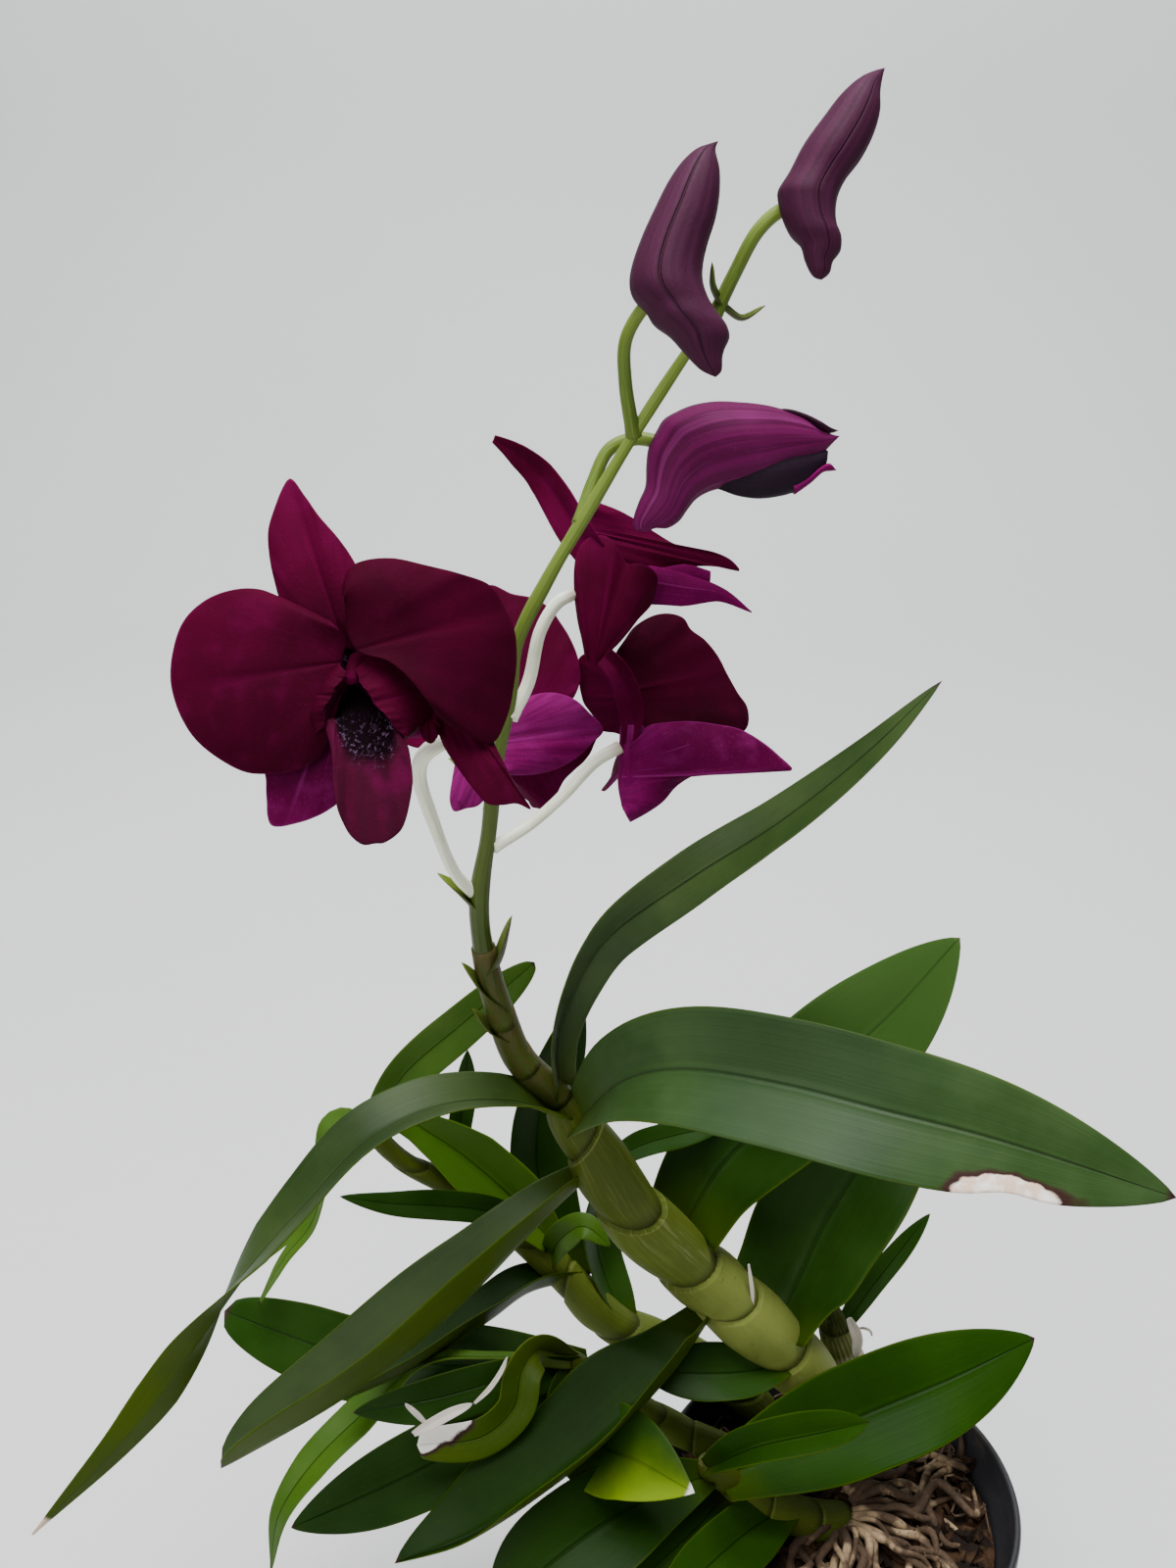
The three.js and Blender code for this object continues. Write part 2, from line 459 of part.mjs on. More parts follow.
// ---- Leaves ------------------------------------------------------------------------------------
// Each leaf clasps its cane, then opens. points is the midrib from the cane to the tip, faces the
// way the upper side looks along it, and after names the earlier leaves it wraps around.
const SMALL = { rows: 6, cols: 2 };
const LEAVES = {
  top_leaf: { points: [[-84, 5, 245], [-84, 1, 263], [-79, -3, 282], [-71, -5, 297], [-51, -8, 315],
    [-30, -11, 332], [-11, -13, 351], [3, -14, 368]],
    faces: [[0.7, -0.6, 0.2], [0.5, -0.8, 0.3], [-0.5, -0.5, 0.6], [-0.6, -0.5, 0.6]], width: 14,
    foot: 0.7 },
  right_leaf_1: { points: [[-79, 4, 234], [-66, -10, 258], [-52, -20, 268], [-29, -32, 272], [-7, -42, 272],
    [16, -48, 269], [57, -58, 260]], faces: [[-0.6, -0.5, 0.7], [0, -0.8, 0.6], [0.1, -0.8, 0.5]], width: 33,
    foot: 0.35, after: ['top_leaf'] },
  left_leaf_1: { points: [[-84, 4, 236], [-96, -6, 248], [-113, -16, 254], [-130, -25, 251], [-146, -33, 237],
    [-161, -40, 221], [-186, -52, 188], [-216, -62, 157]], faces: [[0.4, 0, 0.9], [-0.3, -0.2, 0.9],
    [-0.5, -0.1, 0.8], [-0.4, 0.8, 0], [-0.4, 0.8, 0]], width: 19,
    shape: [0.6, 0.85, 1, 1, 0.95, 0.85, 0.8, 0.65, 0.35, 0.03], after: ['top_leaf', 'right_leaf_1'] },
  left_leaf_2: { points: [[-77, 8, 211], [-85, -2, 210], [-94, -11, 206], [-105, -19, 198], [-120, -28, 188],
    [-141, -38, 177], [-171, -48, 164]], faces: [[-0.4, 0, 0.9], [-0.55, 0.17, 0.81]], width: 33,
    fold: [0.9, 0.88, 0.8], curl: [0.05], foot: 0.35, widest: 0.5, point: 0.5 },
  left_leaf_3: { points: [[-40, 13, 155], [-47, 4, 151], [-54, -5, 149], [-70, -18, 141], [-87, -28, 133],
    [-108, -36, 124], [-129, -42, 121]], faces: [[-0.5, 0, 0.8], [-0.62, 0, 0.79]], width: 41,
    fold: [0.8, 0.72, 0.6], curl: [0.05], foot: 0.35 },
  left_leaf_4: { points: [[-16, 15, 135], [-33, 8, 139], [-47, 6, 141], [-60, 5, 142]],
    faces: [[0, -0.5, 0.8]], width: 18, rows: 6 },
  right_leaf_2: { points: [[-47, 22, 183], [-36, 30, 199], [-12, 35, 222], [11, 37, 246], [29, 38, 272]],
    faces: [[-0.3, -0.8, 0.4], [-0.55, -0.6, 0.6]], width: 38, foot: 0.75 },
  right_leaf_3: { points: [[-19, 24, 138], [-9, 37, 150], [-2, 42, 166], [7, 45, 184], [17, 47, 204], [24, 49, 220]],
    faces: [[-0.5, -0.6, 0.4], [-0.3, -0.9, 0.3]], width: 43, foot: 0.85,
    widest: 0.35, after: ['right_leaf_2'] },
  right_leaf_4: { points: [[-72, 12, 212], [-62, 20, 213], [-50, 27, 212], [-35, 33, 211]],
    faces: [[0, -0.6, 0.8]], width: 9, ...SMALL, after: ['right_leaf_2'] },
  spent_cane_leaf: { points: [[5, 42, 118], [15, 46, 134], [25, 49, 149], [34, 52, 162]],
    faces: [[-0.8, -0.5, 0.4]], width: 9, ...SMALL },
  side_leaf_1: { points: [[-81, 6, 143], [-82, -3, 138], [-76, -11, 134], [-62, -25, 140], [-47, -37, 142]],
    faces: [[0.5, -0.6, 0.6], [0, -0.7, 0.7]], width: 27, widest: 0.5, swell: 1.1, point: 0.95,
    color: LEAF_YELLOW, ...SMALL, after: ['left_leaf_3'] },
  young_leaf_1: { points: [[-38, -13, 119], [-19, -4, 120], [10, 8, 123], [37, 16, 129], [63, 24, 137]],
    faces: [[0, -0.6, 0.8], [0.1, -0.75, 0.66]], width: 34, after: ['left_leaf_4'] },
  young_leaf_2: { points: [[-41, -16, 127], [-28, -21, 141], [-11, -20, 145], [4, -15, 144]],
    faces: [[0, -0.4, 0.9], [0, -0.5, 0.9]], width: 15, fold: [0.8, 0.6], rows: 6 },
  young_leaf_3: { points: [[-41, -14, 122], [-63, -26, 124], [-83, -40, 122], [-103, -52, 112]],
    faces: [[0, -0.6, 0.8]], width: 30, foot: 0.3, widest: 0.55,
    after: ['side_leaf_1'] },
  young_leaf_4: { points: [[-35, -9, 108], [-45, -21, 108], [-60, -34, 106], [-76, -45, 100]],
    faces: [[0.2, -0.7, 0.7]], width: 22, rows: 6 },
  young_leaf_5: { points: [[-16, -8, 102], [-28, -19, 106], [-43, -34, 108], [-58, -47, 103]],
    faces: [[0.3, -0.6, 0.8]], width: 20, rows: 6, after: ['young_leaf_4'] },
  side_leaf_2: { points: [[-73, 8, 138], [-93, -4, 136], [-113, -12, 130], [-138, -20, 122], [-161, -26, 115]],
    faces: [[-0.2, -0.7, 0.7]], width: 24, after: ['side_leaf_1'] },
  side_leaf_3: { points: [[-76, 10, 138], [-113, 22, 128], [-144, 24, 127], [-167, 24, 137], [-188, 24, 148]],
    faces: [[0, -0.5, 0.8], [0, -0.8, 0.6]], width: 26, point: 0.4, after: ['side_leaf_2'] },
  side_leaf_4: { points: [[-80, 7, 144], [-98, -7, 153], [-120, -14, 152], [-142, -18, 151]],
    faces: [[0, -0.9, 0.4]], width: 15, rows: 6, after: ['left_leaf_3', 'side_leaf_1'] },
  torn_leaf: { points: [[-81, 6, 147], [-91, -4, 160], [-95, -10, 158], [-97, -15, 150], [-106, -19, 143],
    [-124, -22, 143]], faces: [[0.4, -0.8, 0.3], [0.1, -0.8, 0.5]], width: 12, color: LEAF_YELLOW, point: 0.2,
    rows: 6, cols: 2, after: ['side_leaf_4', 'side_leaf_1', 'left_leaf_3'] },
  rear_leaf_1: { points: [[-142, 40, 205], [-130, 38, 226], [-112, 36, 245], [-91, 33, 267]],
    faces: [[0.1, -0.8, 0.3], [0.2, -0.8, 0.2]], width: 14, color: LEAF_LIGHT, point: 0.5, ...SMALL },
  rear_leaf_2: { points: [[-142, 40, 204], [-150, 35, 209], [-154, 31, 196], [-159, 28, 179], [-168, 26, 167],
    [-177, 24, 151]], faces: [[-0.5, -0.5, 0.5], [-0.8, -0.5, 0.3]], width: 12, color: LEAF_LIGHT, ...SMALL,
    shape: [0.6, 1, 0.9, 0.6, 0.4, 0.35, 0.1], after: ['rear_leaf_1'] },
  rear_leaf_3: { points: [[-88, 44, 158], [-104, 46, 178], [-123, 46, 197], [-138, 44, 207], [-152, 37, 199],
    [-163, 33, 176], [-179, 29, 160]], faces: [[0.4, -0.7, 0.5], [0, -0.8, 0.6], [-0.4, -0.7, 0.6]], width: 22,
    color: LEAF_LIGHT, shape: [0.5, 1, 0.95, 0.5, 0.35, 0.25, 0.2, 0.05], rows: 6, after: ['rear_leaf_2'] },
  rear_leaf_4: { points: [[-93, 44, 161], [-107, 34, 178], [-121, 27, 186], [-135, 21, 192],
    [-148, 17, 198]], faces: [[0, -0.6, 0.8]], width: 10, widest: 0.3, ...SMALL, after: ['rear_leaf_3'] },
  rear_leaf_5: { points: [[-80, 44, 142], [-92, 60, 168], [-92, 66, 190], [-84, 70, 214], [-78, 72, 231]],
    faces: [[0.5, -0.8, 0.1]], width: 24, ...SMALL, after: ['rear_leaf_3'] },
  rear_leaf_6: { points: [[-80, 44, 142], [-95, 34, 146], [-106, 26, 143], [-118, 18, 140],
    [-135, 8, 137], [-150, 0, 136]], faces: [[-0.4, 0, 0.9], [-0.5, 0.15, 0.85]], width: 21, fold: [0.8], curl: [0.05] },
  side_leaf_5: { points: [[-80, 8, 143], [-105, 12, 141], [-126, 14, 137], [-143, 9, 123], [-158, -2, 114],
    [-168, -10, 102], [-172, -14, 82]], faces: [[0, 0.5, 0.85], [0, -0.2, 0.9], [-0.4, -0.6, 0.6]], width: 13,
    shape: [0.4, 0.35, 0.4, 0.7, 1, 0.9, 0.5, 0.05], color: LEAF_LIGHT, ...SMALL,
    after: ['side_leaf_2', 'side_leaf_3', 'rear_leaf_6'] },
  rear_leaf_7: { points: [[-64, 42, 126], [-72, 50, 142], [-74, 53, 157], [-73, 55, 172]],
    faces: [[0.8, -0.6, 0.1]], width: 18, ...SMALL, after: ['rear_leaf_5'] },
  rear_leaf_8: { points: [[-118, 44, 180], [-116, 53, 196], [-114, 55, 208], [-113, 56, 222]],
    faces: [[0, -1, 0.2]], width: 8, ...SMALL, after: ['rear_leaf_3', 'rear_leaf_5'] },
  rear_leaf_9: { points: [[-88, 43, 150], [-84, 36, 166], [-77, 33, 173], [-69, 30, 168]],
    faces: [[-0.4, -0.6, 0.6], [0.3, -0.6, 0.7]], width: 10, color: LEAF_LIGHT, ...SMALL,
    after: ['rear_leaf_3', 'rear_leaf_4', 'rear_leaf_6'] },
};
const fatLeaves = {};
for (const [name, leaf] of Object.entries(LEAVES)) {
  const { points, faces, width, after = [], color = LEAF } = leaf;
  const shape = cut(blade(points, faces, width, leaf),
    [...Object.values(fatCanes), fatSpike, ...after.map((other) => fatLeaves[other])]);
  add(name, largest(shape), color, 0.45);
  fatLeaves[name] = blade(points, faces, width, { ...leaf, grow: GAP });
}

export default orchid;
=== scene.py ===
"""A dendrobium orchid in flower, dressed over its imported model: pot, bark mix, roots, canes, flower
stem, leaves, flowers and buds. Metres, +Z up; sizes written in millimetres are scaled where used."""
import math
import random

import bmesh
import bpy
from mathutils import Matrix, Vector, noise


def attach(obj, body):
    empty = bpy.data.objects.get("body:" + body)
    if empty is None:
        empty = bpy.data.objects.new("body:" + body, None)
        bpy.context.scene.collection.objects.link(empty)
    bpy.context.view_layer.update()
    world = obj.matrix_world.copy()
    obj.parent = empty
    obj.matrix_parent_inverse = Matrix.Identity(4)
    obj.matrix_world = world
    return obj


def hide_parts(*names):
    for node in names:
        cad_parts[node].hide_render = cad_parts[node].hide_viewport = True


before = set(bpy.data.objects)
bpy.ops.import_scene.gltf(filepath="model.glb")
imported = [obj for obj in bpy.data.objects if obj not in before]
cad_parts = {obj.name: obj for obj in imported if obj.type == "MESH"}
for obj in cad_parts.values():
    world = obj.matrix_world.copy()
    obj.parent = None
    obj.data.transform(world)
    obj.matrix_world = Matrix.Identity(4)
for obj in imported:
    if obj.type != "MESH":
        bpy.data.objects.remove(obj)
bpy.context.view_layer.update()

# ---- Pot ----------------------------------------------------------------------------------------
# A thin tapered nursery pot, injection moulded in black plastic, with a stiff rolled rim and drain
# holes around the solid middle of its floor. It holds the bark mix and carries everything else.
MM = 0.001
POT_PROFILE = [
    (0, 0), (30, 0), (36.4, 0), (37.6, 0.5), (38, 1.5), (38.6, 6), (44.7, 46), (51.2, 89.6), (52, 90.6),
    (54.2, 91), (55, 91.8), (55, 98.6), (54.6, 99.6), (53.9, 100), (53.2, 99.7), (52.9, 99),
    (52.8, 92.8), (49.8, 89), (43.3, 46), (37.1, 3), (36, 2), (20, 2), (0, 2),
]
DRAIN_RADIUS, DRAIN_CIRCLE, DRAINS = 4, 26, 6
PLASTIC_BLACK, PLASTIC_DUST = (0.018, 0.018, 0.021), (0.09, 0.075, 0.06)


class Wire:
    """One value in a material; arithmetic on it adds Math nodes."""

    def __init__(self, finish, socket):
        self.finish, self.socket = finish, socket

    def maths(self, operation, *others, swap=False):
        values = [*others, self] if swap else [self, *others]
        return self.finish.node("Math", {"operation": operation}, dict(enumerate(values)))

    def __add__(self, other):
        return self.maths("ADD", other)

    def __sub__(self, other):
        return self.maths("SUBTRACT", other)

    def __rsub__(self, other):
        return self.maths("SUBTRACT", other, swap=True)

    def __mul__(self, other):
        return self.maths("MULTIPLY", other)

    def __truediv__(self, other):
        return self.maths("DIVIDE", other)

    def __rtruediv__(self, other):
        return self.maths("DIVIDE", other, swap=True)

    def __pow__(self, other):
        return self.maths("POWER", other)

    def __gt__(self, other):
        return self.maths("GREATER_THAN", other)

    def __lt__(self, other):
        return self.maths("LESS_THAN", other)

    def __abs__(self):
        return self.maths("ABSOLUTE")

    __radd__, __rmul__ = __add__, __mul__

    def fade(self, low, high):
        """0 at low, 1 at high, smooth between."""
        sockets = {"Value": self, "From Min": low, "From Max": high}
        return self.finish.node("MapRange", {"interpolation_type": "SMOOTHSTEP"}, sockets)


class Finish:
    """A material: one Principled shader, and the nodes that feed it."""

    def __init__(self, name, constants):
        self.material = bpy.data.materials.new(name)
        self.material.use_nodes = True
        self.tree = self.material.node_tree
        self.shader = self.tree.nodes["Principled BSDF"]
        for socket, value in constants.items():
            self.shader.inputs[socket].default_value = value

    def node(self, kind, settings=None, sockets=None, output=0):
        node = self.tree.nodes.new("ShaderNode" + kind)
        for setting, value in (settings or {}).items():
            if setting == "stops":
                stops = node.color_ramp.elements
                for stop, (place, colour) in zip(stops, (value[0], value[-1])):
                    stop.position, stop.color = place, (*colour, 1)
                for place, colour in value[1:-1]:
                    stops.new(place).color = (*colour, 1)
            else:
                setattr(node, setting, value)
        for key, value in (sockets or {}).items():
            self.set(node.inputs[key], value)
        return Wire(self, node.outputs[output])

    def set(self, socket, value):
        if isinstance(value, Wire):
            self.tree.links.new(value.socket, socket)
        elif socket.type == "RGBA" and len(value) == 3:
            socket.default_value = (*value, 1)
        else:
            socket.default_value = value

    def feed(self, **wires):
        for name, wire in wires.items():
            self.set(self.shader.inputs[name.replace("_", " ")], wire)
        return self.material

    def mix(self, share, low, high):
        return self.node("Mix", {"data_type": "RGBA"}, {0: share, 6: low, 7: high}, 2)

    def place(self):
        return self.node("TexCoord", output="Object")

    def grain(self, scale, detail=3.0, vector=None, rough=0.5):
        sockets = {"Vector": vector or self.place(), "Scale": scale, "Detail": detail, "Roughness": rough}
        return self.node("TexNoise", None, sockets)

    def surface(self):
        """The piece's own map: across or round it, and along it."""
        parts = {"Vector": self.node("UVMap", {"uv_map": "UVMap"})}
        return [self.node("SeparateXYZ", None, parts, axis) for axis in (0, 1)]

    def stretched(self, across, along, scale, detail=3.0):
        """Grain drawn out along the piece: across and along give how fine it is each way."""
        joined = self.node("CombineXYZ", None, {0: across, 1: along, 2: 0.0})
        return self.grain(scale, detail, joined)

    def wrapped(self, turn, along, scale, detail=3.0):
        """Grain drawn out along a round piece, without a seam where the turn closes."""
        angle = turn * 2 * math.pi
        sockets = {0: angle.maths("COSINE"), 1: angle.maths("SINE"), 2: along}
        return self.grain(scale, detail, self.node("CombineXYZ", None, sockets))

    def bump(self, height, distance, strength=1.0):
        sockets = {"Height": height, "Distance": distance, "Strength": strength}
        return self.node("Bump", None, sockets)


def piece(name, mesh, materials, slot, *nodes):
    """Makes a finished mesh into a piece of the plant that stands for the named solids."""
    data = bpy.data.meshes.new(name)
    mesh.to_mesh(data)
    mesh.free()
    for material in materials:
        data.materials.append(material)
    data.shade_smooth()
    made = bpy.data.objects.new(name, data)
    bpy.context.collection.objects.link(made)
    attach(made, "root")
    if nodes:
        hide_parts(*nodes)
    return made


def spun(profile, sides):
    """A profile of radius and height in millimetres, turned about the pot's axis."""
    mesh = bmesh.new()
    spots = [mesh.verts.new((r * MM, 0, z * MM)) for r, z in profile]
    edges = [mesh.edges.new(pair) for pair in zip(spots, spots[1:])]
    bmesh.ops.spin(mesh, geom=spots + edges, cent=(0, 0, 0), axis=(0, 0, 1), angle=2 * math.pi,
                   steps=sides, use_merge=True)
    bmesh.ops.remove_doubles(mesh, verts=mesh.verts, dist=1e-6)
    bmesh.ops.recalc_face_normals(mesh, faces=mesh.faces)
    return mesh


def moulded_plastic():
    finish = Finish("black_plastic", {"Roughness": 0.42, "Specular IOR Level": 0.45})
    dust = finish.grain(38, 6, rough=0.65).fade(0.5, 0.78)
    fine = finish.grain(900, 2)
    colour = finish.mix(dust * 0.55, PLASTIC_BLACK, PLASTIC_DUST)
    return finish.feed(Base_Color=colour, Roughness=0.36 + dust * 0.35 + fine * 0.08,
                       Normal=finish.bump(fine, 0.00012, 0.6))


pot = piece("nursery_pot", spun(POT_PROFILE, 128), [moulded_plastic()], "pot", "pot")
drill = bmesh.new()
for i in range(DRAINS):
    turn = (i + 0.5) * 2 * math.pi / DRAINS
    spot = Vector((math.cos(turn), math.sin(turn), 0)) * DRAIN_CIRCLE * MM
    bmesh.ops.create_cone(drill, cap_ends=True, segments=24, radius1=DRAIN_RADIUS * MM,
                          radius2=DRAIN_RADIUS * MM, depth=0.02, matrix=Matrix.Translation(spot))
drill_data = bpy.data.meshes.new("drill")
drill.to_mesh(drill_data)
drill.free()
drill_piece = bpy.data.objects.new("drill", drill_data)
bpy.context.collection.objects.link(drill_piece)
drilling = pot.modifiers.new("drains", "BOOLEAN")
drilling.object, drilling.operation, drilling.solver = drill_piece, "DIFFERENCE", "EXACT"
bpy.context.view_layer.objects.active = pot
bpy.ops.object.modifier_apply(modifier=drilling.name)
bpy.data.objects.remove(drill_piece)
for face in pot.data.polygons:
    face.use_smooth = abs(face.normal.z) < 0.98

# ---- Bark mix -----------------------------------------------------------------------------------
# Damp pine bark, almost black, filled to a little below the rim: a lumpy bed with loose chips and
# crumbs that lie on it every way, and old root fibre between them.
MIX_TOP = 88
MIX_PROFILE = [(0, 2.5), (35.8, 2.5), (36.6, 4), (42.8, 46), (48.9, 85), (48.6, 86), (46, MIX_TOP),
               (42, MIX_TOP), (38, MIX_TOP), (34, MIX_TOP), (30, MIX_TOP), (26, MIX_TOP), (22, MIX_TOP),
               (18, MIX_TOP), (14, MIX_TOP), (10, MIX_TOP), (5, MIX_TOP), (0, MIX_TOP)]
BARK_DARK, BARK_BROWN, BARK_PALE = (0.009, 0.005, 0.003), (0.045, 0.022, 0.01), (0.15, 0.09, 0.045)
chance = random.Random(4)


def bark():
    finish = Finish("damp_bark", {"Specular IOR Level": 0.12})
    patch = finish.grain(170, 5)
    fleck = finish.grain(620, 4, rough=0.7)
    brown = finish.mix(patch.fade(0.42, 0.62), BARK_DARK, BARK_BROWN)
    colour = finish.mix(fleck.fade(0.6, 0.75) * patch.fade(0.45, 0.7), brown, BARK_PALE)
    return finish.feed(Base_Color=colour, Roughness=0.95 - fleck * 0.4,
                       Normal=finish.bump(fleck + patch, 0.0008))


def chips(mesh, count, low, high, lift):
    for i in range(count):
        away = 46 * math.sqrt(chance.random())
        turn = chance.uniform(0, 2 * math.pi)
        size = [chance.uniform(low, high) * share for share in (1, 0.62, 0.4)]
        spot = Matrix.Translation(Vector((away * math.cos(turn), away * math.sin(turn),
                                          MIX_TOP + chance.uniform(*lift))) * MM)
        tilt = Matrix.Rotation(chance.uniform(0, 6.28), 4, "Z") @ Matrix.Rotation(
            chance.uniform(-0.7, 0.7), 4, "X")
        first = len(mesh.verts)
        cube = bmesh.ops.create_cube(mesh, size=1, matrix=spot @ tilt @ Matrix.Diagonal(
            (*[edge * MM for edge in size], 1)))["verts"]
        edges = {edge for vert in cube for edge in vert.link_edges}
        bmesh.ops.subdivide_edges(mesh, edges=list(edges), cuts=1, use_grid_fill=True)
        mesh.verts.ensure_lookup_table()
        for vert in mesh.verts[first:]:
            vert.co += noise.noise_vector(vert.co * 300 + Vector((i, 0, 0))) * size[0] * 0.16 * MM


bed = spun(MIX_PROFILE, 72)
for vert in bed.verts:
    if vert.co.z > (MIX_TOP - 0.1) * MM:
        vert.co.z += (noise.fractal(vert.co * 160, 1, 2, 4) * 2.2 - 0.8) * MM
chips(bed, 190, 4, 10, (-0.5, 2.2))
chips(bed, 420, 1.4, 3.6, (0, 2.8))
bmesh.ops.recalc_face_normals(bed, faces=bed.faces)
mix = piece("bark_mix", bed, [bark()], "mix", "potting_mix")
for face in mix.data.polygons:
    face.use_smooth = False

# ---- Rhizome and roots --------------------------------------------------------------------------
# The rhizome creeps over the bark and joins the canes. Corky cream roots leave its underside, run
# out over the mix to the rim and dive into it; thin dry ones lie among them.
ROOT_CREAM, ROOT_TAN, ROOT_BROWN = (0.33, 0.23, 0.13), (0.06, 0.032, 0.014), (0.008, 0.004, 0.002)
RHIZOME = [[(14, 39, 85), (12, 30, 88), (4, 20, 89), (-6, 18, 88), (-14, 26, 86), (-16, 34, 83)],
           [(6, 22, 89), (4, 11, 88), (1, 0, 86)]]


def route(points):
    """A smooth line through points in millimetres: the place and heading at a share of its length."""
    spots = [Vector(point) * MM for point in points]
    spots = [2 * spots[0] - spots[1], *spots, 2 * spots[-1] - spots[-2]]
    line = []
    for before, start, end, after in zip(spots, spots[1:], spots[2:], spots[3:]):
        a, b, c = [max((q - p).length, 1e-7) ** 0.5 for p, q in ((before, start), (start, end), (end, after))]
        leave = ((start - before) / a - (end - before) / (a + b) + (end - start) / b) * b
        reach = ((end - start) / b - (after - start) / (b + c) + (after - end) / c) * b
        for step in range(20):
            t = step / 20
            line.append(start + leave * t + (3 * (end - start) - 2 * leave - reach) * t ** 2
                        + (2 * (start - end) + leave + reach) * t ** 3)
    line.append(spots[-2])
    reached = [0.0]
    for p, q in zip(line, line[1:]):
        reached.append(reached[-1] + (q - p).length)
    known = {}

    def at(t):
        if t not in known:
            goal = t * reached[-1]
            i = min(max(sum(r < goal for r in reached) - 1, 0), len(line) - 2)
            share = (goal - reached[i]) / max(reached[i + 1] - reached[i], 1e-9)
            back, ahead = line[max(i - 1, 0)], line[min(i + 2, len(line) - 1)]
            here = line[i + 1] - line[i]
            heading = (here * 2 + (line[i] - back) * (1 - share) + (ahead - line[i + 1]) * share)
            known[t] = line[i].lerp(line[i + 1], share), heading.normalized()
        return known[t]
    at.length = reached[-1]
    return at


def spread(values, t):
    """The value at t from 0 to 1 of a list of numbers or directions, spread evenly over that range."""
    at = t * (len(values) - 1)
    i = min(int(at), max(len(values) - 2, 0))
    j = min(i + 1, len(values) - 1)
    if isinstance(values[0], (int, float)):
        return values[i] + (values[j] - values[i]) * (at - i)
    return Vector(values[i]).lerp(Vector(values[j]), at - i)


def net(mesh, cols, rows, shape, side=None):
    """A grid laid on a shape: shape(u, v) gives a vertex, and side(u, v) its face's material."""
    if not mesh.loops.layers.uv:
        mesh.loops.layers.uv.new("UVMap")
    chart = mesh.loops.layers.uv["UVMap"]
    verts = bmesh.ops.create_grid(mesh, x_segments=cols, y_segments=rows, size=0.5)["verts"]
    faces = {face for vert in verts for face in vert.link_faces}
    for face in faces:
        middle = face.calc_center_median()
        face.material_index = side(middle.x + 0.5, middle.y + 0.5) if side else 0
        for loop in face.loops:
            loop[chart].uv = loop.vert.co.x + 0.5, loop.vert.co.y + 0.5
    for vert in verts:
        vert.co = shape(round(vert.co.x + 0.5, 5), round(vert.co.y + 0.5, 5))
    bmesh.ops.remove_doubles(mesh, verts=verts, dist=1e-6)
    faces = [face for face in faces if face.is_valid]
    edges = {edge for face in faces for edge in face.edges if edge.is_boundary}
    bmesh.ops.holes_fill(mesh, edges=list(edges), sides=0)
    return faces


def stem(mesh, points, radius, cols=10, rows=24, oval=1.0, up=(0, 0, 1), material=0):
    """A round stem in millimetres: radius is a list along it, or a function of turn and share."""
    line, up = route(points), Vector(up)

    def shape(u, v):
        spot, along = line(v)
        flat = along.cross(up).normalized()
        rise = flat.cross(along)
        turn = 2 * math.pi * (u % 1)
        r = radius(turn, v) if callable(radius) else spread(radius, v)
        return spot + (rise * math.cos(turn) + flat * math.sin(turn) * oval) * r * MM
    return net(mesh, cols, rows, shape, lambda u, v: material)


def corky_root():
    finish = Finish("corky_root", {"Roughness": 0.8})
    patch = finish.grain(110, 4)
    fleck = finish.grain(900, 3)
    pale = finish.mix(patch.fade(0.36, 0.5), ROOT_CREAM, ROOT_TAN)
    colour = finish.mix(patch.fade(0.55, 0.7) * 0.6 + fleck.fade(0.55, 0.72) * 0.6, pale, ROOT_BROWN)
    return finish.feed(Base_Color=colour, Roughness=0.7 + fleck * 0.25,
                       Normal=finish.bump(fleck, 0.0003))


def root_path(x, y, heading, reach, low, high, wander):
    path = [(x, y, 90)]
    for k in range(1, 6):
        away, bend = reach * k / 5, heading + chance.uniform(-wander, wander)
        spot = Vector((x + away * math.cos(bend), y + away * math.sin(bend)))
        spot *= min(1, 47.5 / spot.length)
        path.append((*spot, MIX_TOP + (chance.uniform(low, high) if k < 5 else -1)))
    return path


roots = bmesh.new()
for path, radii in zip(RHIZOME, ([3.4, 4.2, 4.4, 4.2, 3.8, 3], [4, 4, 3.6])):
    stem(roots, path, lambda turn, v, radii=radii: spread(radii, v) * (
        1 + 0.07 * math.sin(v * 60) + 0.05 * math.sin(turn * 5)), 20, 40)
for i in range(34):
    heading = -2.3 + i * 0.1 + chance.uniform(-0.1, 0.1)
    thick = chance.uniform(0.7, 1.5) if i % 3 else chance.uniform(1.3, 1.8)
    path = root_path(2 + 4 * math.cos(heading), 2 + 8 * math.sin(heading), heading,
                     chance.uniform(28, 50), 1.5, 7.5, 0.3)
    stem(roots, path, [thick * 1.1, thick, thick, thick * 0.9, thick * 0.7, thick * 0.4], 8, 30)
for i in range(40):
    start = Vector((chance.uniform(-40, 42), chance.uniform(-40, 40)))
    path = root_path(*start, chance.uniform(0, 6.28), chance.uniform(10, 26), 1.5, 4.5, 0.8)
    thick = chance.uniform(0.2, 0.55)
    stem(roots, [(x, y, min(z, MIX_TOP + 5)) for x, y, z in path], [thick, thick, thick * 0.6], 6, 20)
for spot in ((38, 14), (43, 20), (30, 33)):
    path = [(*spot, 86), (spot[0] + 1, spot[1] + 1, 92), (spot[0] + 1, spot[1] + 4, 97)]
    stem(roots, path, [1.2, 1.3, 1.0, 0.4], 8, 12)
bmesh.ops.recalc_face_normals(roots, faces=roots.faces)
piece("rhizome_roots", roots, [corky_root()], "roots", "rhizome_and_roots")

